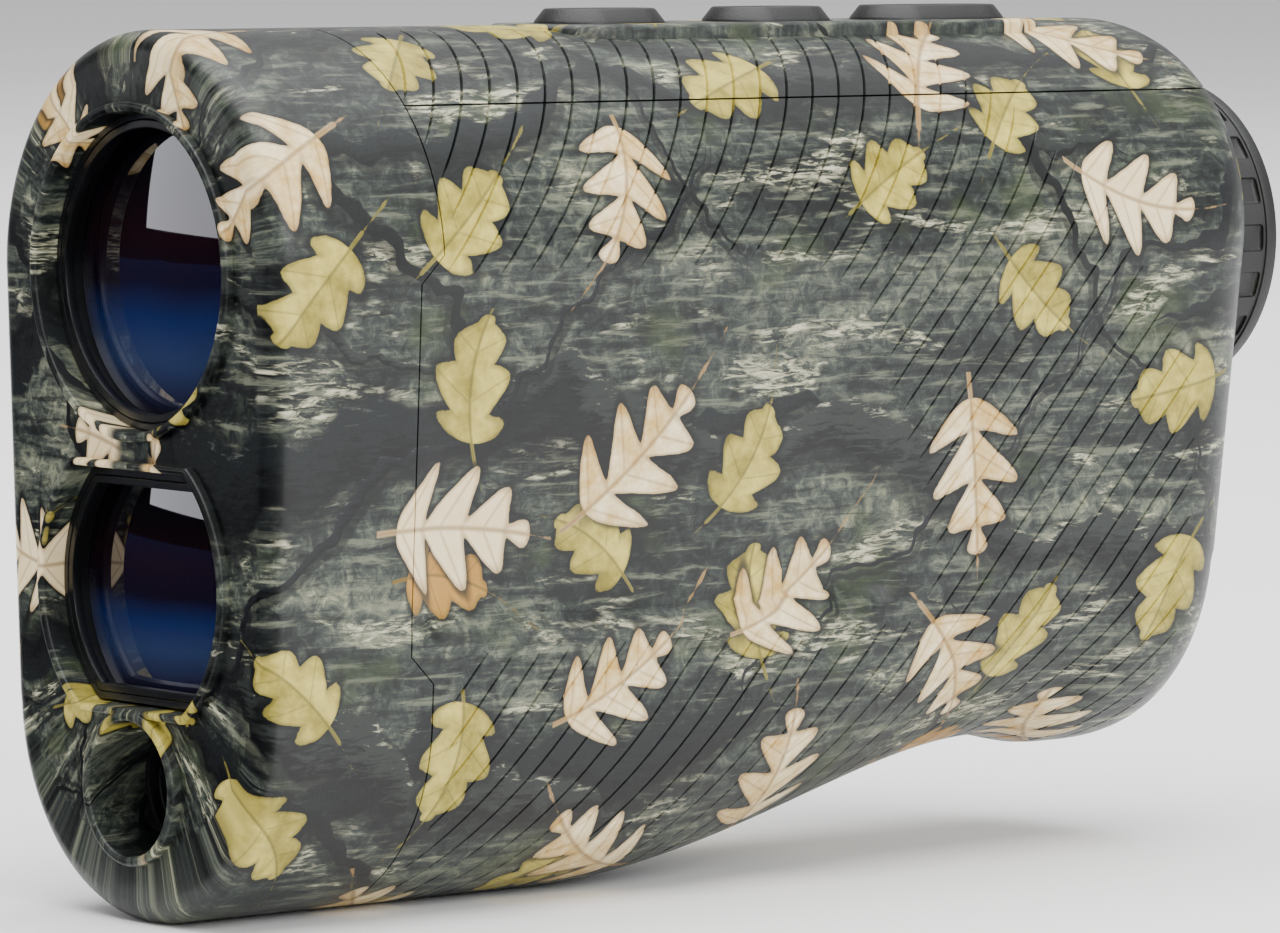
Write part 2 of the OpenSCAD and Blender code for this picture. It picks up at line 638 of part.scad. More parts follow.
ring_y0 = body_l - 6;
ring_groove_y = ring_y0 - 1.3;
ring_out = eyecup_r - 1.3;
ring_in = eye_tube_r + focus_gap;
module focus_circlip() placed() color("#a9adb1") difference() {
    tube(eye_tube_r + 0.9, eye_tube_r - 0.55, ring_groove_y + 0.1, ring_groove_y + 0.9);
    block([-2, 0, -20], [2, 200, 0]);
}
module focus_ring() placed() color("#202122") tube(ring_out, ring_in, ring_y0, y_end - 1.8);
pocket_w = 2 * 180 / pocket_count * 0.55;
module eyecup() placed() color("#161718") difference() {
    union() {
        rod(eyecup_r, y_end - eyecup_lip, y_end);
        rod(eyecup_r - 0.2, ring_y0, y_end - eyecup_lip + eps);
    }
    rod(ring_out, ring_y0 - 1, y_end - 1.8);
    rod(eye_hole_r, 0, y_end + 1);
    // grip pockets, which leave a plain lip at the end
    for (i = [0:pocket_count - 1]) rotate([0, i * 360 / pocket_count, 0])
        block([eyecup_r - pocket_depth, ring_y0 + 1.5, -eyecup_r * sin(pocket_w) / 2],
            [eyecup_r + 1, y_end - eyecup_lip, eyecup_r * sin(pocket_w) / 2]);
}

// ---- power and boards ----------------------------------------------------------------------

cell_y = 44;
cell_z = -25.5;
module battery_cell() placed() color("#3f6fa8") translate([0, 0, cell_z]) {
    rod(cell_r, cell_y, cell_y + cell_l);
    rod(2.6, cell_y - 1 + eps, cell_y + eps);
}
// A snap-in holder that hangs from the chassis plate on two webs
module battery_cradle() placed() color("#2a2c2e") difference() {
    union() {
        block([-cell_r - 1.2, cell_y - 3.5, cell_z - 1.5],
            [cell_r + 1.2, cell_y + cell_l + 3.5, cell_z + cell_r + 1.2]);
        for (y = [cell_y, cell_y + cell_l - 3]) block([-cell_r, y, cell_z + cell_r],
            [cell_r, y + 3, plate_z - plate_t - seat_gap]);
    }
    translate([0, 0, cell_z]) rod(cell_r + seat_gap, cell_y - 2.2, cell_y + cell_l + 2.2);
}
module battery_contacts() placed() color("#d0b060") {
    block([-4, cell_y - 1.8, cell_z - 3], [4, cell_y - 1.1, cell_z + 5]);
    block([-4, cell_y + cell_l + 0.1, cell_z - 3], [4, cell_y + cell_l + 0.8, cell_z + 5]);
}
board_x = 11.2;
module main_board() placed() color("#1f5a35")
    block([board_x, cell_y - 4, cell_z - 9], [board_x + board_t, cell_y + cell_l + 4, plate_z - plate_t - seat_gap]);
module board_chips() placed() color("#2b2b2d") for (c = [[44, -32, 8], [56, -26, 9], [70, -32, 6], [72, -21, 5]])
    block([board_x - 1.3, c[0], c[1]], [board_x - eps, c[0] + c[2], c[1] + c[2]]);

// ---- charging port and its door ------------------------------------------------------------

port_w = 8.9;
port_h = 3.2;
port_z = (door_hinge_z + 0.8 + door_top_z) / 2;
port_l = 6;
module charging_port() placed() color("#c2c5c8") difference() {
    block([-port_w / 2, door_face_y - door_t - door_gap - port_l, port_z - port_h / 2],
        [port_w / 2, door_face_y - door_t - door_gap, port_z + port_h / 2]);
    block([-port_w / 2 + 0.3, door_face_y - door_t - port_l + 0.6, port_z - port_h / 2 + 0.3],
        [port_w / 2 - 0.3, body_l + 20, port_z + port_h / 2 - 0.3]);
}
door_pin_y = door_face_y - door_t / 2;
module port_door() placed() color("#1c1d1e") difference() {
    union() {
        block([-door_w / 2, door_face_y - door_t, door_hinge_z],
            [door_w / 2, door_face_y, door_top_z]);
        translate([0, door_pin_y, door_hinge_z]) cross_rod(door_t / 2, door_w / 2);
    }
    translate([0, door_pin_y, door_hinge_z]) cross_rod(door_pin_r + focus_gap, door_w);
}
module port_door_pin() placed() color("#b4b7ba")
    translate([0, door_pin_y, door_hinge_z]) cross_rod(door_pin_r, door_w / 2 + 1.5);
module lanyard_bar() placed() color("#b4b7ba")
    translate([0, lanyard_y, lanyard_z]) cross_rod(lanyard_r, lanyard_w / 2 + 1.4);

// ---- what is drawn -------------------------------------------------------------------------

front_cover();
side_shell_right();
side_shell_left();
top_cover();
objective_barrel();
objective_retainer();
objective_lens();
objective_seal();
receiver_barrel();
receiver_retainer();
receiver_lens();
emitter_barrel();
emitter_lens();
laser_diode();
laser_board();
photodiode();
receiver_board();
receiver_shroud();
front_bulkhead();
rear_bulkhead();
chassis();
chassis_screws();
shell_screws();
prism_block();
roof_prism();
prism_bracket();
display_panel();
display_frame();
eyepiece_tube();
field_lens();
eye_lens();
eye_lens_retainer();
focus_circlip();
focus_ring();
eyecup();
front_button();
middle_button();
rear_button();
button_board();
dome_switches();
main_board();
board_chips();
battery_cell();
battery_cradle();
battery_contacts();
charging_port();
port_door();
port_door_pin();
lanyard_bar();
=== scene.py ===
import json
import math

import bmesh
import bpy
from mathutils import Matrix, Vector


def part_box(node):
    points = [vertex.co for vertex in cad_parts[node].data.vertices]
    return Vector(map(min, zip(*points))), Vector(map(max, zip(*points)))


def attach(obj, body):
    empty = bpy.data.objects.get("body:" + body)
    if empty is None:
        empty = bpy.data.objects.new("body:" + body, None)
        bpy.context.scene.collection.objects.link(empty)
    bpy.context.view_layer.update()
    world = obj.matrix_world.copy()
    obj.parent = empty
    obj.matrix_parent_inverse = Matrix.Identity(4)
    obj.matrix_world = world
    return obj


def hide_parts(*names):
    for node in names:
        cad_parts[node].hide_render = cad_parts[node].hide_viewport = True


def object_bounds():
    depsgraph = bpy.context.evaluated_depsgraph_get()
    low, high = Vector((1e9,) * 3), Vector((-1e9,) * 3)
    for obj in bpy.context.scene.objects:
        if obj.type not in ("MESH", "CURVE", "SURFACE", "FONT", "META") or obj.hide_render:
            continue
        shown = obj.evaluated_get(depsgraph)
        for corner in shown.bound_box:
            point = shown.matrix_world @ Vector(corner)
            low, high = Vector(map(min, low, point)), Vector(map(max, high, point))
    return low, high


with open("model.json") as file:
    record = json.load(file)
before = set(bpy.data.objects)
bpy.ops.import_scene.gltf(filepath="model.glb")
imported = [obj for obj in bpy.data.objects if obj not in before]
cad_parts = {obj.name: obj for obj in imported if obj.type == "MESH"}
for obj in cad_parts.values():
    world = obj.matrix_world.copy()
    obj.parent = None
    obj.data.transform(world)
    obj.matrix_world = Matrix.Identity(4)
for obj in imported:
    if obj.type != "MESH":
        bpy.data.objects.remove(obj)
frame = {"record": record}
cad_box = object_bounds()


# ---- Camera --------------------------------------------------------------------------------
# A long lens from the front left, nearly level with the object, so that the front face and one
# side are both seen with almost no perspective.

camera_place = Vector((0.486132, -0.399040, 0.045848))
camera_look = Vector((-0.77385, 0.62877, -0.07639))
camera_data = bpy.data.cameras.new("camera")
camera_data.sensor_width = 36
camera_data.lens = 208.125
camera_data.clip_end = 20
camera = bpy.data.objects.new("camera", camera_data)
camera.location = camera_place
camera.rotation_euler = camera_look.to_track_quat("-Z", "Y").to_euler()
bpy.context.collection.objects.link(camera)
bpy.context.scene.camera = camera


# ---- Housing, as one solid -------------------------------------------------------------------
# The moulded polycarbonate housing: a rounded crown over a slightly narrower keel, with the
# underside rising towards the rear. It is lofted whole, scored with its ribs and recessed for
# the grip, and the covers are cut from it further down, so that the ribs run on across seams.

mm = 0.001


def low(node):
    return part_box(node)[0]


def high(node):
    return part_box(node)[1]


emitter_lip = 1.0 * mm
front_y = low("front_cover")[1] + emitter_lip
axis_z = (low("eyecup")[2] + high("eyecup")[2]) / 2
crown_r = 19.4 * mm
keel_r = 17.6 * mm
keel_drop = 35.2 * mm
keel_rise = 9.2 * mm
foot_drop = 1.2 * mm
rise_start = 38 * mm
rise_end = 90 * mm
body_l = 109 * mm
rear_lean = 0.07
wall = 1.8 * mm
front_wall = 3 * mm


def smooth_step(t):
    t = min(1, max(0, t))
    return t * t * (3 - 2 * t)


def keel_at(y):
    """How far the keel's centre is under the optical axis, y behind the front face."""
    rise = keel_rise * smooth_step((y - rise_start) / (rise_end - rise_start))
    return keel_drop - rise + foot_drop * smooth_step((y - rise_end) / (8 * mm))


def edit(solid):
    """Makes the object the only one selected and opens it in edit mode, with nothing picked."""
    if bpy.context.mode != "OBJECT":
        bpy.ops.object.mode_set(mode="OBJECT")
    bpy.ops.object.select_all(action="DESELECT")
    solid.select_set(True)
    bpy.context.view_layer.objects.active = solid
    bpy.ops.object.mode_set(mode="EDIT")
    bpy.ops.mesh.select_all(action="DESELECT")


def done():
    bpy.ops.object.mode_set(mode="OBJECT")
    return bpy.context.active_object


def pick(fits, last=0):
    """Picks, in edit mode, the vertices whose place fits; last keeps to the newest ones."""
    bpy.ops.mesh.select_all(action="DESELECT")
    mesh = bpy.context.edit_object.data
    shape = bmesh.from_edit_mesh(mesh)
    shape.verts.ensure_lookup_table()
    for vertex in shape.verts[-last:] if last else shape.verts:
        if fits(vertex.co):
            vertex.select = True
    shape.select_flush(True)
    bmesh.update_edit_mesh(mesh, loop_triangles=False, destructive=False)


def start(name):
    """Names the object that a primitive operator has just made, and opens it in edit mode."""
    made = bpy.context.active_object
    made.name = name
    made.data.name = name
    bpy.ops.object.transform_apply(location=True, rotation=True, scale=True)
    edit(made)
    return made


def move(x=0, y=0, z=0):
    bpy.ops.transform.translate(value=(x, y, z))


def grow(x, y, z, centre):
    bpy.ops.transform.resize(value=(x, y, z), center_override=centre)


def extrude(x=0, y=0, z=0):
    bpy.ops.mesh.extrude_region_move(TRANSFORM_OT_translate={"value": (x, y, z)})


ring_half, side_cuts = 56, 32
ring_count = 2 * (ring_half + side_cuts)
tiny = 0.01 * mm


def shape_ring(y, was, now, inset):
    """Takes the newest ring from one (inset, underside inset, keel depth) to the next."""
    top_r, low_r = crown_r - inset, keel_r - inset
    keel_was, keel_now = axis_z - was[2], axis_z - now[2]
    factor = (top_r - now[0]) / (top_r - was[0])
    centre = (0, front_y + y, axis_z)
    pick(lambda p: p.z > axis_z - tiny, ring_count)
    grow(factor, 1, factor, centre)
    pick(lambda p: keel_was - 0.4 * mm < p.z < axis_z - tiny, ring_count)
    grow(factor, 1, now[2] / was[2], centre)
    pick(lambda p: p.z < keel_was - 0.4 * mm, ring_count)
    grow((low_r - now[0]) / (low_r - was[0]), 1, (low_r - now[1]) / (low_r - was[1]),
         (0, front_y + y, keel_was))
    move(z=keel_now - keel_was)
    pick(lambda p: True, ring_count)


def housing_solid(name, inset, y0, y1, front_round, rear_round, foot_round):
    """The housing's outside, or with an inset the space inside it."""
    top_r, low_r = crown_r - inset, keel_r - inset
    bpy.ops.object.select_all(action="DESELECT")
    bpy.ops.mesh.primitive_circle_add(
        vertices=2 * ring_half, radius=top_r, rotation=(math.pi / 2, 0, 0),
        location=(0, front_y + y0, axis_z))
    solid = start(name)
    pick(lambda p: p.z < axis_z - tiny)
    grow(low_r / top_r, 1, low_r / top_r, (0, front_y + y0, axis_z))
    move(z=-keel_at(y0))
    pick(lambda p: abs(p.x) > low_r - 0.2 * mm
         and axis_z - keel_at(y0) - 1.3 * mm < p.z < axis_z + tiny)
    bpy.ops.mesh.subdivide(number_cuts=side_cuts)
    was = (front_round, front_round, keel_at(y0))
    shape_ring(y0, (0, 0, keel_at(y0)), was, inset)

    quarter = math.pi / 2
    stations = [(y0 + front_round * (1 - math.cos(quarter * i / 6)),
                 front_round * (1 - math.sin(quarter * i / 6)), 1) for i in range(1, 7)]
    length = y1 - rear_round - y0 - front_round
    steps = round(length / (1.5 * mm))
    stations += [(y0 + front_round + length * i / steps, 0, 1) for i in range(1, steps + 1)]
    stations += [(y1 - rear_round + rear_round * math.sin(quarter * i / 14),
                  rear_round * (1 - math.cos(quarter * i / 14)), foot_round) for i in range(1, 15)]
    y_was, tilt_was = y0, 0
    for y, take_in, flat in stations:
        extrude(y=y - y_was)
        now = (take_in, take_in * flat, keel_at(y))
        shape_ring(y, was, now, inset)
        tilt = math.atan(rear_lean * smooth_step((y - body_l / 2) / (body_l / 2)))
        bpy.ops.transform.rotate(value=tilt - tilt_was, orient_axis="X",
                                 center_override=(0, front_y + y, axis_z))
        y_was, tilt_was, was = y, tilt, now
    bpy.ops.mesh.edge_face_add()
    pick(lambda p: p.y < front_y + y0 + tiny)
    bpy.ops.mesh.edge_face_add()
    bpy.ops.mesh.select_all(action="SELECT")
    bpy.ops.mesh.normals_make_consistent(inside=False)
    return done()


housing = housing_solid("housing", 0, 0, body_l, 2 * mm, 8 * mm, 3.5 / 8)

# The ribs are V-shaped scores on slanted planes a fixed pitch apart. Each plane is cut in by
# three bisections, and the middle line is then pushed in where the ribs show.
rib_slope = 0.85
rib_pitch = 2.86 * mm
rib_first = 5.35 * mm
rib_half_w = 0.15 * mm
rib_depth = 0.24 * mm
panel_top = 0.4 * mm
panel_bottom = -28.4 * mm
# the smooth panel's rear edge, as (height, place along the housing)
panel_rear = [(0.4, 55.5), (-4, 61.7), (-7.8, 63.5), (-11.5, 65.3), (-15.2, 67.1), (-20.8, 69.6),
              (-31.4, 70.5)]


def along(z, points):
    """Reads a line of (height, place) points, in millimetres, at a height."""
    for (z0, v0), (z1, v1) in zip(points, points[1:]):
        if z0 * mm >= z >= z1 * mm:
            return (v0 + (v1 - v0) * (z0 * mm - z) / ((z0 - z1) * mm)) * mm
    return points[0][1] * mm if z > points[0][0] * mm else points[-1][1] * mm


def ribbed(p, margin=0):
    """Whether the ribs show at a place on the housing."""
    x, y, z = abs(p.x), p.y - front_y, p.z - axis_z
    front = 17.6 * mm if z > 0 else 18.6 * mm
    rear = 99.5 * mm if z < -10 * mm else min(99.5 * mm, 91 * mm - rib_slope * z)
    if not front - margin < y < rear + margin:
        return False
    on_top = 7.4 * mm if 40 * mm < y < 97 * mm else 4 * mm
    if z > 0 and x < on_top - margin:
        return False
    beside_panel = -31.4 * mm + margin < z < panel_top - margin
    return not beside_panel or y > along(z, panel_rear) - margin


edit(housing)
rib = 0
while rib_first + rib * rib_pitch < 145 * mm:
    offset = rib_first + rib * rib_pitch
    for side in (-rib_half_w, 0, rib_half_w):
        at = offset + side
        pick(lambda p: abs(p.y - front_y - rib_slope * (p.z - axis_z) - at) < 4 * mm
             and ribbed(p, 2.5 * mm))
        if bpy.context.edit_object.data.total_vert_sel:
            bpy.ops.mesh.bisect(plane_co=(0, front_y + at, axis_z), plane_no=(0, 1, -rib_slope),
                                threshold=rib_half_w / 100)
    rib += 1
done()


def press(solid, name, depth):
    """Pushes the surface in along its normals by the depth given at each place."""
    group = solid.vertex_groups.new(name=name)
    most = max(depth(v.co) for v in solid.data.vertices)
    for v in solid.data.vertices:
        share = depth(v.co) / most
        if share > 0:
            group.add([v.index], share, "REPLACE")
    push = solid.modifiers.new(name, "DISPLACE")
    push.vertex_group = name
    push.mid_level = 0
    push.strength = -most
    bpy.context.view_layer.objects.active = solid
    bpy.ops.object.modifier_apply(modifier=name)


def rib_cut(p):
    turns = (p.y - front_y - rib_slope * (p.z - axis_z) - rib_first) / rib_pitch
    on_line = abs(turns - round(turns)) * rib_pitch < 0.02 * mm
    return rib_depth if on_line and ribbed(p) else 0


def panel_scoop(p):
    """The smooth side panel: a shallow recess that deepens towards the ledge at its foot."""
    y, z = p.y - front_y, p.z - axis_z
    if not panel_bottom - 0.8 * mm < z < panel_top + 0.2 * mm or y < 14.4 * mm:
        return 0
    rear = along(z, [(0.4, 54.5), (-5.8, 54.5), (-12.8, 57.9), (-26.5, 63.8), (-31.4, 64.5)])
    from_top = smooth_step((panel_top - z) / (0.8 * mm)) * 0.25 * mm
    low_down = smooth_step((-9 * mm - z) / (19 * mm)) * 1.0 * mm
    ledge = smooth_step((z - panel_bottom + 0.8 * mm) / (1.0 * mm))
    beside = smooth_step((rear + 3 * mm - y) / (3.5 * mm)) * smooth_step((y - 14.4 * mm) / (3 * mm))
    return (from_top + low_down) * ledge * beside


press(housing, "panel", panel_scoop)
press(housing, "ribs", rib_cut)


# ---- The covers, cut from the housing --------------------------------------------------------
# Four mouldings with a fine gap between them: the front cover, the top cover and a shell on each
# side. They are hollow, with pads inside that hold the port door, the lanyard bar and the screws.

seam_gap = 0.14 * mm
seam_y = 16.6 * mm
seam_panel_y = 14.3 * mm
shoulder_z = 13.4 * mm
shoulder_x = math.sqrt(crown_r ** 2 - shoulder_z ** 2)
screw_pad_r = 2.7 * mm
counterbore_r = 2.2 * mm
far = 60 * mm
fit_gap = 0.3 * mm


def block(name, lowest, highest):
    """A box between two corners, as a tool for cutting."""
    bpy.ops.object.select_all(action="DESELECT")
    bpy.ops.mesh.primitive_cube_add(
        size=1, location=[(a + b) / 2 for a, b in zip(lowest, highest)],
        scale=[b - a for a, b in zip(lowest, highest)])
    start(name)
    return done()


def bar(name, radius, x0, x1, y, z):
    """A round bar along X, as a tool for cutting."""
    bpy.ops.object.select_all(action="DESELECT")
    bpy.ops.mesh.primitive_cylinder_add(
        vertices=48, radius=radius, depth=x1 - x0, rotation=(0, math.pi / 2, 0),
        location=((x0 + x1) / 2, y, z))
    start(name)
    return done()


def plug(name, radius, y0, y1, z, vertices=128):
    """A round bar along Y, centred on the housing at height z."""
    bpy.ops.object.select_all(action="DESELECT")
    bpy.ops.mesh.primitive_cylinder_add(
        vertices=vertices, radius=radius, depth=y1 - y0, rotation=(math.pi / 2, 0, 0),
        location=(0, (y0 + y1) / 2, z))
    start(name)
    return done()


def cut(solid, tool, how="DIFFERENCE"):
    """Cuts a solid with a tool, and throws the tool away."""
    modifier = solid.modifiers.new("cut", "BOOLEAN")
    modifier.operation = how
    modifier.solver = "MANIFOLD"
    modifier.object = tool
    bpy.context.view_layer.objects.active = solid
    bpy.ops.object.modifier_apply(modifier=modifier.name)
    bpy.data.objects.remove(tool)


def copy_of(solid, name):
    twin = solid.copy()
    twin.data = solid.data.copy()
    twin.name = twin.data.name = name
    bpy.context.collection.objects.link(twin)
    return twin


door_low, door_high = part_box("port_door")
bar_low, bar_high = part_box("lanyard_bar")
port_low, port_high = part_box("charging_port")
rear_end = front_y + body_l + 9 * mm
screw_spots = [(front_y + 38 * mm, axis_z - 44.5 * mm), (front_y + 88 * mm, axis_z - 36.5 * mm)]
screw_head_x = -9.5 * mm

space = housing_solid("space", wall, front_wall, body_l - wall, 0.5 * mm, 6.2 * mm, 3.5 / 8)
pad_x = door_high[0] + 2.5 * mm
cut(space, block("door_pad", (-pad_x, door_low[1] - 2 * mm, bar_high[2] + 0.8 * mm),
                 (pad_x, rear_end, door_high[2] + 2 * mm)))
cut(space, block("lanyard_pad", (-5.5 * mm, bar_low[1] - 3.3 * mm, -far),
                 (5.5 * mm, rear_end, bar_high[2] + 0.81 * mm)))
for y, z in screw_spots:
    cut(space, bar("boss", screw_pad_r, -crown_r, crown_r, y, z))
cut(housing, space)

def seam_tool(shift):
    """A block with the front joint as its rear face, which steps forward beside the panel."""
    tool = block("seam", (-far, -2 * far, -2 * far), (far, front_y + seam_y + shift, 2 * far))
    edit(tool)
    for z in (panel_top + 1.2 * mm, panel_top - 1.1 * mm, -30.6 * mm, -32.9 * mm):
        bpy.ops.mesh.select_all(action="SELECT")
        bpy.ops.mesh.bisect(plane_co=(0, 0, axis_z + z), plane_no=(0, 0, 1), threshold=tiny / 10)
    pick(lambda p: p.y > front_y and axis_z - 31 * mm < p.z < axis_z + panel_top)
    move(y=seam_panel_y - seam_y)
    return done()


front_cover = copy_of(housing, "front_cover_shell")
cut(front_cover, seam_tool(0), "INTERSECT")
cut(housing, seam_tool(seam_gap))
cut(housing, plug("eye_opening", high("eyecup")[0] + 0.5 * mm, rear_end - 25 * mm, rear_end,
                  axis_z))
top_cover = copy_of(housing, "top_cover_shell")
cut(top_cover, block("shoulder", (-shoulder_x, -far, axis_z + shoulder_z),
                     (shoulder_x, 2 * far, far)), "INTERSECT")
cut(housing, block("shoulder", (-shoulder_x - seam_gap, -far, axis_z + shoulder_z - seam_gap),
                   (shoulder_x + seam_gap, 2 * far, far)))

# pockets in the rear: the port door and its port, the lanyard bar, and the screws on one side
door_pocket = block("door_pocket", (door_low[0] - fit_gap, door_low[1] - fit_gap,
                                    door_low[2] - fit_gap),
                    (door_high[0] + fit_gap, rear_end, door_high[2] + fit_gap))
cut(housing, door_pocket)
cut(housing, block("port_hole", (port_low[0], port_low[1] - 5 * mm, port_low[2]),
                   (port_high[0], rear_end, port_high[2])))
lanyard_pocket = block("lanyard_pocket", (-3 * mm, bar_low[1] - 1.8 * mm, -far),
                       (3 * mm, rear_end, bar_high[2]))
cut(housing, lanyard_pocket)
for y, z in screw_spots:
    cut(housing, bar("counterbore", counterbore_r, -crown_r - 1 * mm, screw_head_x, y, z))

shell_left = copy_of(housing, "left_shell")
cut(shell_left, block("half", (-far, -2 * far, -2 * far), (-seam_gap / 2, 2 * far, 2 * far)),
    "INTERSECT")
shell_right = housing
shell_right.name = shell_right.data.name = "right_shell"
cut(shell_right, block("half", (seam_gap / 2, -2 * far, -2 * far), (far, 2 * far, 2 * far)),
    "INTERSECT")


# ---- Button pad ------------------------------------------------------------------------------
# A flat raised island moulded into the top cover, with an opening for each of the three buttons.

pad_half_w = 6.6 * mm
pad_z = axis_z + 19.45 * mm
button_nodes = ("front_button", "middle_button", "rear_button")
button_w = 8 * mm


def stadium(name, y0, y1, width, z0, z1, rounding=0):
    """A bar with round ends, lying along Y, with its top edge rounded."""
    bpy.ops.object.select_all(action="DESELECT")
    bpy.ops.mesh.primitive_circle_add(vertices=96, radius=width / 2, fill_type="NGON",
                                      location=(0, (y0 + y1) / 2, z0))
    made = start(name)
    middle = (y0 + y1) / 2
    for side in (-1, 1):
        pick(lambda p: (p.y - middle) * side > tiny)
        move(y=side * (y1 - y0 - width) / 2)
    bpy.ops.mesh.select_all(action="SELECT")
    extrude(z=z1 - z0)
    if rounding:
        pick(lambda p: p.z > z1 - tiny)
        bpy.ops.mesh.bevel(offset=rounding, segments=4, affect="EDGES")
    bpy.ops.mesh.select_all(action="SELECT")
    bpy.ops.mesh.normals_make_consistent(inside=False)
    return done()


pad_y0 = low("front_button")[1] - 3.1 * mm
pad_y1 = high("rear_button")[1] + 2.1 * mm
cut(top_cover, stadium("pad", pad_y0, pad_y1, 2 * pad_half_w, pad_z - 2.2 * mm, pad_z, 0.5 * mm),
    "UNION")
rim_w = 0.9 * mm
for node in button_nodes:
    cut(top_cover, stadium("opening", low(node)[1] + rim_w - fit_gap,
                           high(node)[1] - rim_w + fit_gap,
                           button_w + 2 * fit_gap, pad_z - 8 * mm, pad_z + 5 * mm))


# ---- Front bezels ----------------------------------------------------------------------------
# Thin upstanding rims moulded on the front cover: a round one for the main lens, one with a flat
# top and bottom for the receiving lens, and a deep small one for the emitter.

lip_w = 0.8 * mm
objective_r = 13.7 * mm
receiver_r = 12.9 * mm
receiver_z = axis_z - 25.4 * mm
receiver_up = 10.1 * mm
receiver_down = 10.5 * mm
emitter_r = 6.3 * mm
emitter_z = axis_z - 41.7 * mm


def flatten(z, up, down):
    """Gives the picked circle a flat top and bottom."""
    pick(lambda p: p.z > z + up)
    grow(1, 1, 0, (0, 0, z + up))
    pick(lambda p: p.z < z - down)
    grow(1, 1, 0, (0, 0, z - down))


def bezel(name, radius, z, y_lip, y_root, flats=None):
    """A rim: an outer wall, a rounded lip and an inner wall, closed at its root."""
    bpy.ops.object.select_all(action="DESELECT")
    bpy.ops.mesh.primitive_circle_add(vertices=160, radius=radius, rotation=(math.pi / 2, 0, 0),
                                      location=(0, front_y + y_root, z))
    made = start(name)
    if flats:
        flatten(z, *flats)
    bpy.ops.mesh.select_all(action="SELECT")
    inner = (radius - lip_w) / radius
    extrude(y=y_lip - y_root)
    extrude()
    grow(inner, 1, inner, (0, 0, z))
    extrude(y=y_root - y_lip)
    bpy.ops.mesh.select_all(action="DESELECT")
    pick(lambda p: p.y > front_y + y_root - tiny)
    bpy.ops.mesh.bridge_edge_loops()
    pick(lambda p: p.y < front_y + y_lip + tiny)
    bpy.ops.mesh.region_to_loop()
    bpy.ops.mesh.bevel(offset=0.3 * mm, segments=4, affect="EDGES")
    bpy.ops.mesh.select_all(action="SELECT")
    bpy.ops.mesh.normals_make_consistent(inside=False)
    return done()


def opening(name, radius, z, flats=None):
    tool = plug(name, radius - lip_w / 2, front_y - 5 * mm, front_y + front_wall + 3 * mm, z, 160)
    if flats:
        edit(tool)
        flatten(z, flats[0] - lip_w / 2, flats[1] - lip_w / 2)
        done()
    return tool


receiver_flats = (receiver_up, receiver_down)
cut(front_cover, opening("objective_opening", objective_r, axis_z))
cut(front_cover, opening("receiver_opening", receiver_r, receiver_z, receiver_flats))
cut(front_cover, opening("emitter_opening", emitter_r, emitter_z))
bezels = [bezel("objective_bezel", objective_r, axis_z, -0.8 * mm, 2.9 * mm),
          bezel("receiver_bezel", receiver_r, receiver_z, -0.8 * mm, 2.9 * mm, receiver_flats),
          bezel("emitter_bezel", emitter_r, emitter_z, -emitter_lip, 5.6 * mm)]
bpy.ops.object.select_all(action="DESELECT")
for rim in bezels:
    rim.select_set(True)
front_cover.select_set(True)
bpy.context.view_layer.objects.active = front_cover
bpy.ops.object.join()


# ---- Camouflage finish -----------------------------------------------------------------------
# A woodland print dipped onto all four mouldings as one film: bark and litter, wandering
# branches and twigs, and scattered oak leaves, under a satin lacquer. The film wraps over the
# crown and folds in over the front and rear faces.


def paint(code):
    """A colour from its hexadecimal code, in linear light."""
    parts = [int(code[i:i + 2], 16) / 255 for i in (0, 2, 4)]
    return (*[c / 12.92 if c < 0.04045 else ((c + 0.055) / 1.055) ** 2.4 for c in parts], 1)


def plug_in(tree, socket, value):
    """Gives a socket a fixed value, or links another node's output to it."""
    if isinstance(value, (int, float, tuple)):
        socket.default_value = value
    else:
        tree.links.new(value, socket)


def maths(tree, work, *values, clamp=False):
    made = tree.nodes.new("ShaderNodeMath")
    made.operation = work
    made.use_clamp = clamp
    for socket, value in zip(made.inputs, values):
        plug_in(tree, socket, value)
    return made.outputs[0]


def times(tree, first, second):
    return maths(tree, "MULTIPLY", first, second)


def slope(tree, value, steepness, start_at):
    return maths(tree, "MULTIPLY_ADD", value, steepness, start_at)


def plus(tree, first, second):
    return maths(tree, "ADD", first, second)


def less(tree, first, second, clamp=False):
    return maths(tree, "SUBTRACT", first, second, clamp=clamp)


def larger(tree, first, second):
    return maths(tree, "MAXIMUM", first, second)


def size_of(tree, value):
    return maths(tree, "ABSOLUTE", value)


def ease(tree, value, start_at, end_at):
    """Goes from 0 to 1 as the value goes from one number to another."""
    made = tree.nodes.new("ShaderNodeMapRange")
    made.interpolation_type = "SMOOTHSTEP"
    for socket, number in zip(made.inputs, (value, start_at, end_at, 0, 1)):
        plug_in(tree, socket, number)
    return made.outputs[0]


def spot(tree, x, y, z=0):
    made = tree.nodes.new("ShaderNodeCombineXYZ")
    for socket, value in zip(made.inputs, (x, y, z)):
        plug_in(tree, socket, value)
    return made.outputs[0]


def apart(tree, vector):
    made = tree.nodes.new("ShaderNodeSeparateXYZ")
    tree.links.new(vector, made.inputs[0])
    return made.outputs


def noise(tree, vector, scale, detail=2, roughness=0.5, warp=0):
    made = tree.nodes.new("ShaderNodeTexNoise")
    tree.links.new(vector, made.inputs["Vector"])
    made.inputs["Scale"].default_value = scale
    made.inputs["Detail"].default_value = detail
    made.inputs["Roughness"].default_value = roughness
    made.inputs["Distortion"].default_value = warp
    return made.outputs[0]


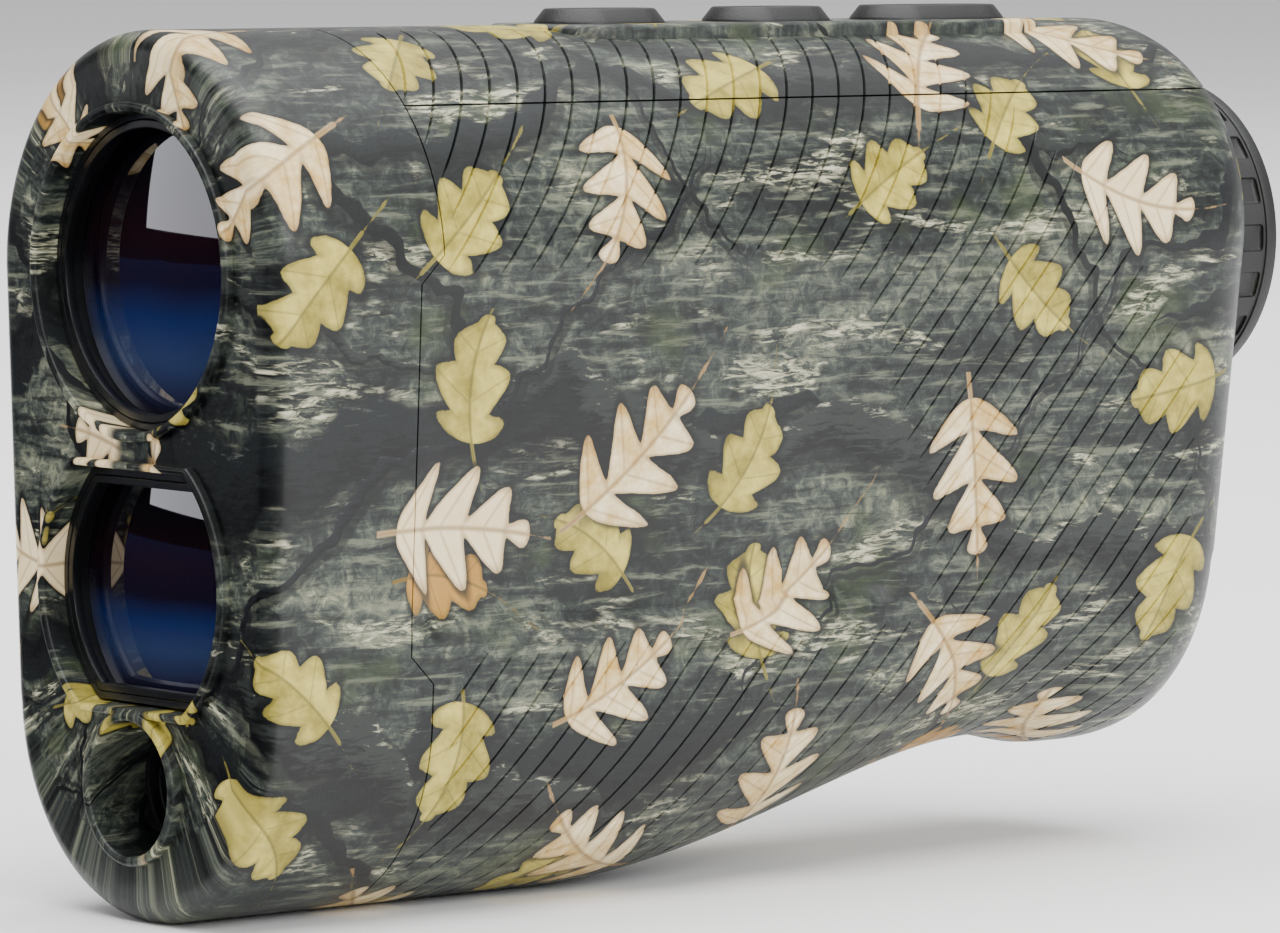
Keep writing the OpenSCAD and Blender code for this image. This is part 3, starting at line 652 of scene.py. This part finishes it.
def ramp(tree, value, stops):
    made = tree.nodes.new("ShaderNodeValToRGB")
    tree.links.new(value, made.inputs[0])
    for at, code in stops[1:-1]:
        made.color_ramp.elements.new(at)
    for element, (at, code) in zip(made.color_ramp.elements, stops):
        element.position = at
        element.color = paint(code)
    return made.outputs[0]


def mix(tree, share, first, second):
    made = tree.nodes.new("ShaderNodeMix")
    made.data_type = "RGBA"
    for at, value in ((0, share), (6, first), (7, second)):
        plug_in(tree, made.inputs[at], paint(value) if isinstance(value, str) else value)
    return made.outputs[2]


def effect(name, takes, gives):
    """A node group with named inputs and outputs."""
    tree = bpy.data.node_groups.new(name, "ShaderNodeTree")
    for label in takes:
        kind = "NodeSocketVector" if label == "Vector" else "NodeSocketFloat"
        tree.interface.new_socket(name=label, in_out="INPUT", socket_type=kind)
    for label in gives:
        kind = "NodeSocketColor" if label == "Color" else "NodeSocketFloat"
        tree.interface.new_socket(name=label, in_out="OUTPUT", socket_type=kind)
    enter = tree.nodes.new("NodeGroupInput")
    leave = tree.nodes.new("NodeGroupOutput")
    return tree, enter.outputs, leave.inputs


def use(tree, name, **values):
    made = tree.nodes.new("ShaderNodeGroup")
    made.node_tree = bpy.data.node_groups[name]
    for label, value in values.items():
        plug_in(tree, made.inputs[label], value)
    return made.outputs


def turned(tree, vector, angle):
    made = tree.nodes.new("ShaderNodeVectorRotate")
    made.rotation_type = "Z_AXIS"
    tree.links.new(vector, made.inputs["Vector"])
    plug_in(tree, made.inputs["Angle"], angle)
    return made.outputs[0]


# one run of branches that wander across the film: Turn is their slope, Spacing and Width in mm
tree, enter, leave = effect("branch", ("Vector", "Turn", "Spacing", "Width", "Seed"),
                            ("Mask", "Across", "Halo"))
along_it, over_it, _ = apart(tree, turned(tree, enter["Vector"], enter["Turn"]))
waver = noise(tree, spot(tree, along_it, times(tree, over_it, 0.35), enter["Seed"]), 0.045, 4, 0.55)
lane = maths(tree, "DIVIDE", slope(tree, waver, 26, over_it), enter["Spacing"])
lane = plus(tree, lane, enter["Seed"])
lane_number = maths(tree, "FLOOR", lane)
off_lane = less(tree, less(tree, lane, lane_number), 0.5)
off_lane = times(tree, off_lane, enter["Spacing"])
girth = noise(tree, spot(tree, along_it, times(tree, lane_number, 37)), 0.05, 3, 0.6)
here = noise(tree, spot(tree, along_it, times(tree, lane_number, 71), enter["Seed"]), 0.018, 1)
girth = times(tree, slope(tree, girth, 2.6, -0.45), ease(tree, here, 0.4, 0.56))
girth = larger(tree, times(tree, girth, enter["Width"]), 0.001)
across = maths(tree, "DIVIDE", off_lane, girth)
thickness = size_of(tree, across)
tree.links.new(less(tree, 1, ease(tree, thickness, 0.78, 1.0)), leave["Mask"])
tree.links.new(across, leave["Across"])
beyond = less(tree, size_of(tree, less(tree, off_lane, 0.7)), girth)
halo_end = slope(tree, girth, 0.5, 0.02)
tree.links.new(less(tree, 1, ease(tree, beyond, 0, halo_end)), leave["Halo"])

# one scatter of lobed leaves, one to a cell: Cell is the grid in mm, Size the leaf's half length
tree, enter, leave = effect("oak_leaf", ("Vector", "Cell", "Size", "Share", "Breadth", "Lobes",
                                         "Cut", "Seed"),
                            ("Mask", "Halo", "Vein", "Edge", "Pick", "Side"))
field_x, field_y, _ = apart(tree, enter["Vector"])
cell_x = plus(tree, maths(tree, "DIVIDE", field_x, enter["Cell"]), enter["Seed"])
cell_y = maths(tree, "DIVIDE", field_y, enter["Cell"])
cell_y = plus(tree, cell_y, times(tree, maths(tree, "FLOOR", cell_x), 0.37))
number_x, number_y = maths(tree, "FLOOR", cell_x), maths(tree, "FLOOR", cell_y)
lot = tree.nodes.new("ShaderNodeTexWhiteNoise")
tree.links.new(spot(tree, number_x, number_y, enter["Seed"]), lot.inputs["Vector"])
draw_1, draw_2, draw_3 = apart(tree, lot.outputs["Color"])
from_x = less(tree, less(tree, cell_x, number_x), slope(tree, draw_1, 0.3, 0.35))
from_y = less(tree, less(tree, cell_y, number_y), slope(tree, draw_2, 0.3, 0.35))
reach = maths(tree, "DIVIDE", enter["Cell"],
              times(tree, enter["Size"], slope(tree, draw_1, 0.35, 0.8)))
local = spot(tree, times(tree, from_x, reach), times(tree, from_y, reach))
ragged = noise(tree, local, 2.6, 3, 0.6)
leaf_x, leaf_y, _ = apart(tree, turned(tree, local, times(tree, draw_3, 2 * math.pi)))
leaf_y = plus(tree, leaf_y, times(tree, times(tree, leaf_x, leaf_x),
                                  slope(tree, draw_2, 0.4, -0.2)))
half = size_of(tree, leaf_y)
swept = slope(tree, half, -0.65, leaf_x)
phase = times(tree, swept, enter["Lobes"])
lobe = size_of(tree, maths(tree, "SINE", times(tree, phase, math.pi)))
lobe = maths(tree, "POWER", lobe, plus(tree, enter["Cut"], 0.65))
belly = maths(tree, "SQRT", larger(tree, less(tree, 1, times(tree, leaf_x, leaf_x)), 0))
belly = times(tree, belly, slope(tree, leaf_x, -0.25, 0.95))
edge_at = slope(tree, lobe, enter["Cut"], less(tree, 1, enter["Cut"]))
edge_at = times(tree, times(tree, edge_at, belly), enter["Breadth"])
edge_at = plus(tree, edge_at, times(tree, less(tree, ragged, 0.5), 0.16))
stalk = times(tree, ease(tree, leaf_x, -1.5, -1.35), ease(tree, leaf_x, -0.6, -0.95))
edge_at = larger(tree, edge_at, slope(tree, stalk, 0.085, -0.05))
outside = less(tree, half, edge_at)
shown = maths(tree, "LESS_THAN", lot.outputs["Value"], enter["Share"])
in_leaf = less(tree, 1, ease(tree, outside, -0.015, 0.015))
tree.links.new(times(tree, in_leaf, shown), leave["Mask"])
near = less(tree, 1, ease(tree, outside, 0, 0.26))
near = times(tree, near, ease(tree, size_of(tree, leaf_x), 1.35, 0.9))
tree.links.new(times(tree, near, shown), leave["Halo"])
rib_off = size_of(tree, less(tree, maths(tree, "FRACT", phase), 0.5))
rib_off = maths(tree, "DIVIDE", rib_off, enter["Lobes"])
vein = larger(tree, less(tree, 1, ease(tree, half, 0.0, 0.05)),
             times(tree, 0.6, less(tree, 1, ease(tree, rib_off, 0.0, 0.035))))
tree.links.new(vein, leave["Vein"])
tree.links.new(ease(tree, outside, -0.16, 0.0), leave["Edge"])
tree.links.new(draw_3, leave["Pick"])
tree.links.new(ease(tree, leaf_y, -0.05, 0.05), leave["Side"])

# the whole film, whose numbers are in mm
film_r = 19.4
spine_l = 30
fold_r = 16.9
fold_stretch = 1.3
halfway = 54
tree, enter, leave = effect("camouflage_film", ("Vector",), ("Color", "Roughness", "Height"))
px, py, pz = apart(tree, enter["Vector"])
px = maths(tree, "DIVIDE", px, mm)
py = maths(tree, "DIVIDE", less(tree, py, front_y), mm)
pz = maths(tree, "DIVIDE", less(tree, pz, axis_z), mm)
spine = maths(tree, "MINIMUM", larger(tree, pz, -spine_l), 0)
rise = less(tree, pz, spine)
side = size_of(tree, px)
girth_way = less(tree, times(tree, maths(tree, "ARCTAN2", side, rise), film_r), spine)
girth_way = times(tree, girth_way, maths(tree, "SIGN", px))
out_from_spine = maths(tree, "SQRT", slope(tree, side, side, times(tree, rise, rise)))
inward = larger(tree, less(tree, fold_r, out_from_spine), 0)
towards = slope(tree, maths(tree, "GREATER_THAN", py, halfway), 2, -1)
length_way = plus(tree, py, times(tree, times(tree, inward, fold_stretch), towards))
film = spot(tree, length_way, girth_way)

drawn = spot(tree, times(tree, length_way, 0.3), girth_way)
fibre = noise(tree, spot(tree, times(tree, length_way, 0.13), girth_way), 1.1, 5, 0.65, 0.4)
litter = noise(tree, film, 0.62, 9, 0.74, 0.8)
shade = noise(tree, drawn, 0.14, 3, 0.5)
ground = plus(tree, times(tree, litter, 0.55), times(tree, shade, 0.45))
colour = ramp(tree, ground, [(0.4, "1a1f1e"), (0.47, "343a38"), (0.53, "4f5550"), (0.59, "74786b"),
                             (0.66, "a4a48e")])
colour = mix(tree, times(tree, ease(tree, fibre, 0.52, 0.66), 0.6), colour, "8d907f")
colour = mix(tree, times(tree, ease(tree, fibre, 0.48, 0.38), 0.65), colour, "171b1b")
moss = ease(tree, noise(tree, film, 0.09, 4, 0.6), 0.54, 0.68)
colour = mix(tree, times(tree, moss, 0.45), colour, "4f5a3c")

# pale strips of bark with dark cracks
crack = noise(tree, spot(tree, times(tree, length_way, 0.22), girth_way), 1.9, 6, 0.7, 0.8)
strip = noise(tree, drawn, 0.2, 5, 0.6, 0.7)
strip_mask = times(tree, ease(tree, strip, 0.54, 0.62), ease(tree, crack, 0.46, 0.54))
colour = mix(tree, times(tree, strip_mask, 0.75), colour,
             ramp(tree, crack, [(0.42, "6f7062"), (0.53, "a9a993"), (0.62, "e2dfca")]))

# thick boughs, pale fallen ones, and two sets of twigs
for turn, spacing, width, seed, dark, light in (
        (6, 27, 3.4, 3.3, "23292a", "70746c"), (-13, 33, 3.0, 8.1, "3a3f3c", "dddac6"),
        (-52, 30, 0.75, 5.7, "191d1e", "565b57"), (38, 37, 0.6, 1.9, "22262a", "6f736c")):
    branch = use(tree, "branch", Vector=film, Turn=math.radians(turn), Spacing=spacing,
                 Width=width, Seed=seed)
    colour = mix(tree, times(tree, branch["Halo"], 0.6), colour, "131718")
    lit = slope(tree, branch["Across"], -0.3, slope(tree, crack, 1.7, -0.55))
    colour = mix(tree, branch["Mask"], colour,
                 ramp(tree, lit, [(0.1, "0f1213"), (0.34, dark), (0.62, dark), (0.9, light)]))

# no leaf lies over the join at the bottom, where the two sides of the film meet
off_join = larger(tree, ease(tree, side, 1.5, 3), maths(tree, "GREATER_THAN", pz, 8))
leaf_noise = noise(tree, film, 0.42, 6, 0.66)
for cell, size, share, breadth, lobes, cut_in, seed, pale, deep, rim, odd in (
        (15.5, 5.4, 0.54, 0.8, 1.3, 0.46, 4.21, "d3c887", "978d50", "5f5a30", "b98f60"),
        (18.5, 7.4, 0.5, 0.78, 1.6, 0.84, 9.43, "f6ecd0", "ccb07c", "7f5f3a", "efe2c4")):
    leaf = use(tree, "oak_leaf", Vector=film, Cell=cell, Size=size, Share=share, Breadth=breadth,
               Lobes=lobes, Cut=cut_in, Seed=seed)
    colour = mix(tree, times(tree, times(tree, leaf["Halo"], off_join), 0.8), colour, "101413")
    tone = plus(tree, slope(tree, leaf_noise, 2.4, -0.85), times(tree, leaf["Side"], 0.3))
    skin = mix(tree, less(tree, 1, tone, clamp=True), pale, deep)
    skin = mix(tree, maths(tree, "GREATER_THAN", leaf["Pick"], 0.9), skin,
               mix(tree, 0.75, skin, odd))
    skin = mix(tree, times(tree, leaf["Edge"], 0.45), skin, rim)
    skin = mix(tree, times(tree, leaf["Vein"], 0.55), skin, rim)
    colour = mix(tree, times(tree, leaf["Mask"], off_join), colour, skin)
deepen = tree.nodes.new("ShaderNodeGamma")
deepen.inputs["Gamma"].default_value = 1.3
tree.links.new(colour, deepen.inputs["Color"])
richer = tree.nodes.new("ShaderNodeHueSaturation")
richer.inputs["Saturation"].default_value = 1.12
tree.links.new(deepen.outputs[0], richer.inputs["Color"])
tree.links.new(richer.outputs[0], leave["Color"])
speck = noise(tree, enter["Vector"], 2600, 3, 0.6)
tree.links.new(slope(tree, speck, 0.12, 0.36), leave["Roughness"])
tree.links.new(speck, leave["Height"])


def finish(name):
    """A new material: its node tree, its shader, and the place on the piece."""
    made = bpy.data.materials.new(name)
    made.use_nodes = True
    shader = made.node_tree.nodes["Principled BSDF"]
    place = made.node_tree.nodes.new("ShaderNodeTexCoord").outputs["Object"]
    return made, made.node_tree, shader.inputs, place


def bump(tree, height, depth):
    made = tree.nodes.new("ShaderNodeBump")
    made.inputs["Strength"].default_value = 1
    made.inputs["Distance"].default_value = depth
    tree.links.new(height, made.inputs["Height"])
    return made.outputs[0]


camouflage, tree, shader, place = finish("camouflage")
film = use(tree, "camouflage_film", Vector=place)
tree.links.new(film["Color"], shader["Base Color"])
tree.links.new(film["Roughness"], shader["Roughness"])
tree.links.new(bump(tree, film["Height"], 0.02 * mm), shader["Normal"])
shader["Specular IOR Level"].default_value = 0.35
shader["Coat Weight"].default_value = 0.12
shader["Coat Roughness"].default_value = 0.2


def smoothed(piece, angle=28):
    bpy.ops.object.select_all(action="DESELECT")
    piece.select_set(True)
    bpy.context.view_layer.objects.active = piece
    bpy.ops.object.shade_smooth_by_angle(angle=math.radians(angle))


shells = {front_cover: "front_cover", top_cover: "top_cover", shell_left: "side_shell_left",
          shell_right: "side_shell_right"}
for shell, node in shells.items():
    smoothed(shell)
    shell.data.materials.clear()
    shell.data.materials.append(camouflage)
    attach(shell, "housing")
    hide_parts(node)


# ---- Finishes of the smaller parts -----------------------------------------------------------
# Moulded plastic, rubber, anodised and cast metal, boards and glass. All share one fine grain,
# which breaks up their colour and gloss and gives them a slight relief.

tree, enter, leave = effect("grain", ("Vector", "Scale"), ("Fine", "Broad"))
scaled = tree.nodes.new("ShaderNodeVectorMath")
scaled.operation = "SCALE"
tree.links.new(enter["Vector"], scaled.inputs[0])
tree.links.new(enter["Scale"], scaled.inputs["Scale"])
tree.links.new(noise(tree, scaled.outputs[0], 1, 4, 0.6), leave["Fine"])
tree.links.new(noise(tree, scaled.outputs[0], 0.06, 3, 0.55), leave["Broad"])


def grained(name, dark, light, gloss, scale, depth, metallic=0.0, coat=0.0):
    """A finish whose colour and gloss wander between two values."""
    made, tree, shader, place = finish(name)
    grain = use(tree, "grain", Vector=place, Scale=scale)
    share = slope(tree, grain["Broad"], 0.7, times(tree, grain["Fine"], 0.3))
    tree.links.new(mix(tree, ease(tree, share, 0.35, 0.65), dark, light), shader["Base Color"])
    tree.links.new(slope(tree, grain["Fine"], 0.16, gloss - 0.08), shader["Roughness"])
    tree.links.new(bump(tree, grain["Fine"], depth), shader["Normal"])
    shader["Metallic"].default_value = metallic
    shader["Coat Weight"].default_value = coat
    shader["Coat Roughness"].default_value = 0.2
    return made


rubber = grained("black_rubber", "060607", "0e0f10", 0.46, 5200, 0.03 * mm)
finishes = {
    "black_plastic": grained("black_plastic", "08090a", "131416", 0.3, 4200, 0.012 * mm, 0.0, 0.3),
    "black_rubber": rubber,
    "gilt_metal": grained("gilt_metal", "b58b3c", "d9b562", 0.3, 3000, 0.008 * mm, 1.0),
    "chip_resin": grained("chip_resin", "111213", "222326", 0.55, 4000, 0.01 * mm),
    "cast_alloy": grained("cast_alloy", "6f7377", "94989c", 0.46, 2400, 0.03 * mm, 1.0),
    "steel": grained("steel", "7e8184", "a9acaf", 0.28, 3000, 0.008 * mm, 1.0),
    "cell_sleeve": grained("cell_sleeve", "2d5584", "3e6fa6", 0.35, 1500, 0.01 * mm, 0.0, 0.4)}

# the boards: green lacquer over a grid of copper tracks
board, tree, shader, place = finish("circuit_board")
grain = use(tree, "grain", Vector=place, Scale=2600)
tracks = tree.nodes.new("ShaderNodeTexBrick")
tree.links.new(place, tracks.inputs["Vector"])
tracks.inputs["Scale"].default_value = 900
tracks.inputs["Mortar Size"].default_value = 0.06
tracks.inputs["Color1"].default_value = paint("1d5535")
tracks.inputs["Color2"].default_value = paint("236341")
tracks.inputs["Mortar"].default_value = paint("3f8a5a")
tree.links.new(mix(tree, times(tree, grain["Broad"], 0.5), tracks.outputs["Color"], "143d26"),
               shader["Base Color"])
tree.links.new(slope(tree, grain["Fine"], 0.15, 0.28), shader["Roughness"])
tree.links.new(bump(tree, tracks.outputs["Fac"], 0.02 * mm), shader["Normal"])
finishes["circuit_board"] = board


def glass_with_painted_reflection(name, centre_z, radius, bands, clear, tint):
    """Dark coated glass with bands of colour from its top to its bottom, painted into its base
    colour: on the front lenses these bands are painted reflection.
    """
    made, tree, shader, place = finish(name)
    up = maths(tree, "DIVIDE", less(tree, apart(tree, place)[2], centre_z), radius)
    dust = use(tree, "grain", Vector=place, Scale=1400)
    up = slope(tree, dust["Broad"], 0.1, slope(tree, up, 0.5, 0.45))
    # painted reflection: the bands go into the base colour by height on the lens, not from any
    # light in the scene
    tree.links.new(ramp(tree, up, bands), shader["Base Color"])
    tree.links.new(times(tree, dust["Fine"], 0.05), shader["Roughness"])
    shader["Transmission Weight"].default_value = clear
    shader["IOR"].default_value = 1.52
    shader["Coat Weight"].default_value = 1.0
    shader["Coat Roughness"].default_value = 0.01
    shader["Coat Tint"].default_value = tint
    return made


# the front lenses' bands, from the bottom up, are painted reflection: purple-grey, blue, then dark
# maroon to near black
front_painted_reflection = [(0.0, "2b2634"), (0.2, "33415f"), (0.34, "1d2c55"), (0.46, "160f1a"),
               (0.62, "1f0e12"), (0.85, "0c0a0d"), (1.0, "08080a")]
plain_bands = [(0.0, "10181c"), (0.5, "1a2429"), (1.0, "0c1114")]
violet = (0.82, 0.84, 1.0, 1)


# ---- Barrels, rings, lenses and inner parts ----------------------------------------------------
# The parts inside are the solids of the design itself, each with its finish. Turned and moulded
# ones that can be seen have their sharp edges eased.

eased = {"objective_barrel", "objective_retainer", "receiver_barrel", "receiver_retainer",
         "emitter_barrel", "eyepiece_tube", "focus_ring", "eye_lens_retainer", "port_door",
         "port_door_pin", "lanyard_bar", "shell_screws"}
slot_of = {part["node"]: part["material_slot"] for part in frame["record"]["subparts"]}
for node, slot_name in slot_of.items():
    if slot_name == "camo_shell":
        continue
    if slot_name.endswith("_glass"):
        middle = (low(node)[2] + high(node)[2]) / 2
        seen = node in ("objective_lens", "receiver_lens")
        # the seen front lenses get painted reflection bands in their base colour, under a real
        # violet coat tint
        material = glass_with_painted_reflection(node + "_coating_and_painted_reflection", middle, (high(node)[2] - low(node)[2]) / 2,
                                front_painted_reflection if seen else plain_bands, 0.35 if seen else 0.7, violet)
    else:
        material = finishes[slot_name]
    piece = bpy.data.objects[node]
    for place_for in piece.material_slots:
        place_for.link = "OBJECT"
        place_for.material = material
    if node in eased:
        weld = piece.modifiers.new("weld", "WELD")
        weld.merge_threshold = 0.001 * mm
        rounding = piece.modifiers.new("ease", "BEVEL")
        rounding.width = 0.08 * mm
        rounding.segments = 2
        rounding.limit_method = "ANGLE"
        rounding.angle_limit = math.radians(40)


# ---- Seen lenses -----------------------------------------------------------------------------
# The two front lenses and the eye lens, ground glass discs with one domed face. The receiving
# lens is cut flat at its top and bottom to fit its bezel.


def dome(node, curve, way, cuts=None):
    """A lens in the place of its node, domed towards -Y or +Y, its pole closed.

    cuts, if given, holds the height of its axis, of its flat top and of its flat bottom.
    """
    radius = (high(node)[0] - low(node)[0]) / 2
    z = (high(node)[2] + low(node)[2]) / 2 if cuts is None else cuts[0]
    tip, back = (low(node)[1], high(node)[1]) if way < 0 else (high(node)[1], low(node)[1])
    sag = lambda r: curve - math.sqrt(curve ** 2 - r ** 2)
    bpy.ops.object.select_all(action="DESELECT")
    bpy.ops.mesh.primitive_circle_add(vertices=128, radius=radius, fill_type="NGON",
                                      rotation=(math.pi / 2, 0, 0), location=(0, back, z))
    made = start(node + "_glass")
    bpy.ops.mesh.select_all(action="SELECT")
    extrude(y=tip - way * sag(radius) - back)
    was = radius
    for step in range(1, 21):
        now = radius * (1 - step / 21)
        extrude(y=way * (sag(was) - sag(now)))
        grow(now / was, 1, now / was, (0, 0, z))
        was = now
    bpy.ops.mesh.merge(type="CENTER")
    bpy.ops.mesh.select_all(action="SELECT")
    bpy.ops.mesh.normals_make_consistent(inside=False)
    for at, outwards in () if cuts is None else ((cuts[1], 1), (cuts[2], -1)):
        bpy.ops.mesh.select_all(action="SELECT")
        bpy.ops.mesh.bisect(plane_co=(0, 0, at), plane_no=(0, 0, outwards), clear_outer=True,
                            use_fill=True, threshold=tiny / 10)
    done()
    smoothed(made, 30)
    # its material carries the coating tint and, on the front lenses, painted reflection
    made.data.materials.append(bpy.data.materials[node + "_coating_and_painted_reflection"])
    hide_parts(node)
    return made


front_curve = 62 * mm
eye_curve = 30 * mm
receiver_cuts = (receiver_z, high("receiver_lens")[2], low("receiver_lens")[2])
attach(dome("objective_lens", front_curve, -1), "housing")
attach(dome("receiver_lens", front_curve, -1, receiver_cuts), "housing")
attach(dome("eye_lens", eye_curve, 1), "eye_cell_body")


# ---- Buttons ---------------------------------------------------------------------------------
# Three oval silicone keys that stand up through the pad, with tapered sides, a rounded rim and a
# hollow for the fingertip. Each moves down on its own dome switch.

button_top = high("middle_button")[2]
taper = 0.9 * mm


def draw_in(y0, y1, width, by):
    """Draws a stadium's newest outline in by a distance, about the centres of its ends."""
    middle = (y0 + y1) / 2
    share = (width - 2 * by) / width
    for sign in (-1, 0, 1):
        pick(lambda p: (p.y > middle + tiny) - (p.y < middle - tiny) == sign, 96)
        grow(share, share if sign else 1, 1, (0, middle + sign * (y1 - y0 - width) / 2, 0))
    pick(lambda p: True, 96)


def ease_edges(piece, width, segments=2, angle=40):
    rounding = piece.modifiers.new("ease", "BEVEL")
    rounding.width = width
    rounding.segments = segments
    rounding.limit_method = "ANGLE"
    rounding.angle_limit = math.radians(angle)
    bpy.context.view_layer.objects.active = piece
    bpy.ops.object.modifier_apply(modifier=rounding.name)


for node in button_nodes:
    y0, y1, across = low(node)[1] + rim_w, high(node)[1] - rim_w, button_w
    button = stadium(node + "_key", y0, y1, across, low(node)[2], pad_z + 0.1 * mm)
    edit(button)
    pick(lambda p: p.z > pad_z)
    extrude(z=button_top - pad_z - 0.1 * mm)
    # the tapered side, the flat rim, the slope into the hollow, and its floor
    for by, down, again in ((taper, 0, True), (0.6 * mm, 0, True), (0.45 * mm, 0.28 * mm, True),
                            (0.9 * mm, 0.08 * mm, False)):
        draw_in(y0, y1, across, by)
        y0, y1, across = y0 + by, y1 - by, across - 2 * by
        move(z=-down)
        if again:
            extrude()
    done()
    ease_edges(button, 0.16 * mm, 3, 22)
    smoothed(button, 35)
    button.data.materials.append(rubber)
    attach(button, node + "_body")
    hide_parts(node)


# ---- Eyecup ----------------------------------------------------------------------------------
# A moulded rubber ring pushed over the focusing ring, with a row of grip pockets round it and a
# plain lip at its end. Turning it focuses the eyepiece.

cup_y0, cup_y1 = low("eyecup")[1], high("eyecup")[1]
cup_r = (high("eyecup")[2] - low("eyecup")[2]) / 2
cup_lip = 1.2 * mm
cup_base = 1.8 * mm
cup_hole_r = 9 * mm
ring_seat_r = 12.45 * mm
grip_r = cup_r - 0.2 * mm
pocket_half_w = 1.2 * mm
bpy.ops.object.select_all(action="DESELECT")
bpy.ops.mesh.primitive_circle_add(vertices=200, radius=grip_r, rotation=(math.pi / 2, 0, 0),
                                  location=(0, cup_y0, axis_z))
eyecup = start("eyecup_rubber")
bpy.ops.mesh.select_all(action="SELECT")
# outside, over the lip, in through the hole, and back along the seat of the focusing ring
radius = grip_r
for radius_now, length in ((None, cup_y1 - cup_lip - cup_y0), (cup_r, cup_lip),
                           (cup_hole_r, -cup_base), (ring_seat_r, cup_y0 - cup_y1 + cup_base)):
    if radius_now:
        extrude()
        grow(radius_now / radius, 1, radius_now / radius, (0, 0, axis_z))
        radius = radius_now
    extrude(y=length)
pick(lambda p: p.y < cup_y0 + tiny)
bpy.ops.mesh.bridge_edge_loops()
bpy.ops.mesh.select_all(action="SELECT")
bpy.ops.mesh.normals_make_consistent(inside=False)
done()
ease_edges(eyecup, 0.3 * mm, 3)
pockets = block("pockets", (cup_r - 0.62 * mm, cup_y0 + 1.4 * mm, axis_z - pocket_half_w),
                (cup_r + 0.8 * mm, cup_y1 - cup_lip - 0.25 * mm, axis_z + pocket_half_w))
ease_edges(pockets, 0.35 * mm, 3)
edit(pockets)
bpy.ops.mesh.select_all(action="SELECT")
pocket_count = 20
for turn in range(pocket_count - 1):
    bpy.ops.mesh.duplicate()
    bpy.ops.transform.rotate(value=2 * math.pi / pocket_count, orient_axis="Y",
                             center_override=(0, 0, axis_z))
done()
cut(eyecup, pockets)
smoothed(eyecup, 35)
eyecup.data.materials.clear()
eyecup.data.materials.append(rubber)
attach(eyecup, "focus_body")
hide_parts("eyecup")


# ---- Studio --------------------------------------------------------------------------------
# A pale floor under an even white sky, with a large soft light overhead, a small soft box that
# the front lenses reflect among dark cards, and a broad light from the camera's side.

bpy.ops.object.select_all(action="DESELECT")
bpy.ops.mesh.primitive_plane_add(size=60, location=(0, 0, cad_box[0][2]))
floor = bpy.context.active_object
floor.name = "floor"
floor_paint, tree, shader, place = finish("floor_paint")
tree.links.new(mix(tree, noise(tree, place, 3), "f4f4f4", "fafafa"), shader["Base Color"])
shader["Roughness"].default_value = 0.8
floor.data.materials.append(floor_paint)


def soft_light(name, stands_at, towards, width, height, power):
    lamp = bpy.data.lights.new(name, "AREA")
    lamp.shape = "RECTANGLE"
    lamp.size, lamp.size_y, lamp.energy = width, height, power
    stand = bpy.data.objects.new(name, lamp)
    stand.location = stands_at
    stand.rotation_euler = (Vector(towards) - Vector(stands_at)).to_track_quat("-Z", "Y").to_euler()
    bpy.context.collection.objects.link(stand)


def mirror_card(name, width, height, stands_at, tilt, bands):
    """A card that only reflections see, so that the lenses have something dark to mirror."""
    bpy.ops.object.select_all(action="DESELECT")
    bpy.ops.mesh.primitive_grid_add(x_subdivisions=4, y_subdivisions=4, size=1, location=stands_at,
                                    rotation=tilt)
    card = bpy.context.active_object
    card.name = name
    card.scale = (width, height, 1)
    made, tree, shader, place = finish(name)
    height_way = apart(tree, place)[1]
    shade = ramp(tree, plus(tree, height_way, 0.5), bands)
    tree.links.new(shade, shader["Emission Color"])
    shader["Emission Strength"].default_value = 1.0
    shader["Base Color"].default_value = (0, 0, 0, 1)
    shader["Specular IOR Level"].default_value = 0
    card.data.materials.append(made)
    card.visible_camera = card.visible_diffuse = False
    card.visible_shadow = card.visible_transmission = False


facing = math.atan2(1.1, 0.9)
mirror_card("far_card", 2.6, 1.3, (-1.0, -1.25, 0.6), (math.pi / 2, 0, math.pi - facing),
            [(0.0, "101010"), (0.4, "16121a"), (0.7, "1c1820"), (1.0, "303038")])
mirror_card("floor_card", 3, 3, (-0.5, -1.562, cad_box[0][2] + 1 * mm), (0, 0, 0),
            [(0.0, "3a3a4a"), (0.6, "2b3f74"), (0.9, "2a2c50"), (1.0, "1c1c2c")])
soft_light("overhead", (0.1, 0, 1.6), (0, 0, 0), 2.2, 2.2, 70)
soft_light("front_box", (-0.91, -0.87, 0.2), (0, -0.057, 0.02), 0.42, 0.32, 1.2)
soft_light("side_box", (1.3, 0.1, 0.6), (0, 0, 0), 1.2, 0.8, 16)
world = bpy.data.worlds.new("studio")
world.use_nodes = True
world.node_tree.nodes["Background"].inputs[0].default_value = (1, 1, 1, 1)
seen_directly = world.node_tree.nodes.new("ShaderNodeLightPath").outputs["Is Camera Ray"]
sky = maths(world.node_tree, "MULTIPLY_ADD", seen_directly, 1.5, 0.7)
world.node_tree.links.new(sky, world.node_tree.nodes["Background"].inputs[1])
bpy.context.scene.world = world
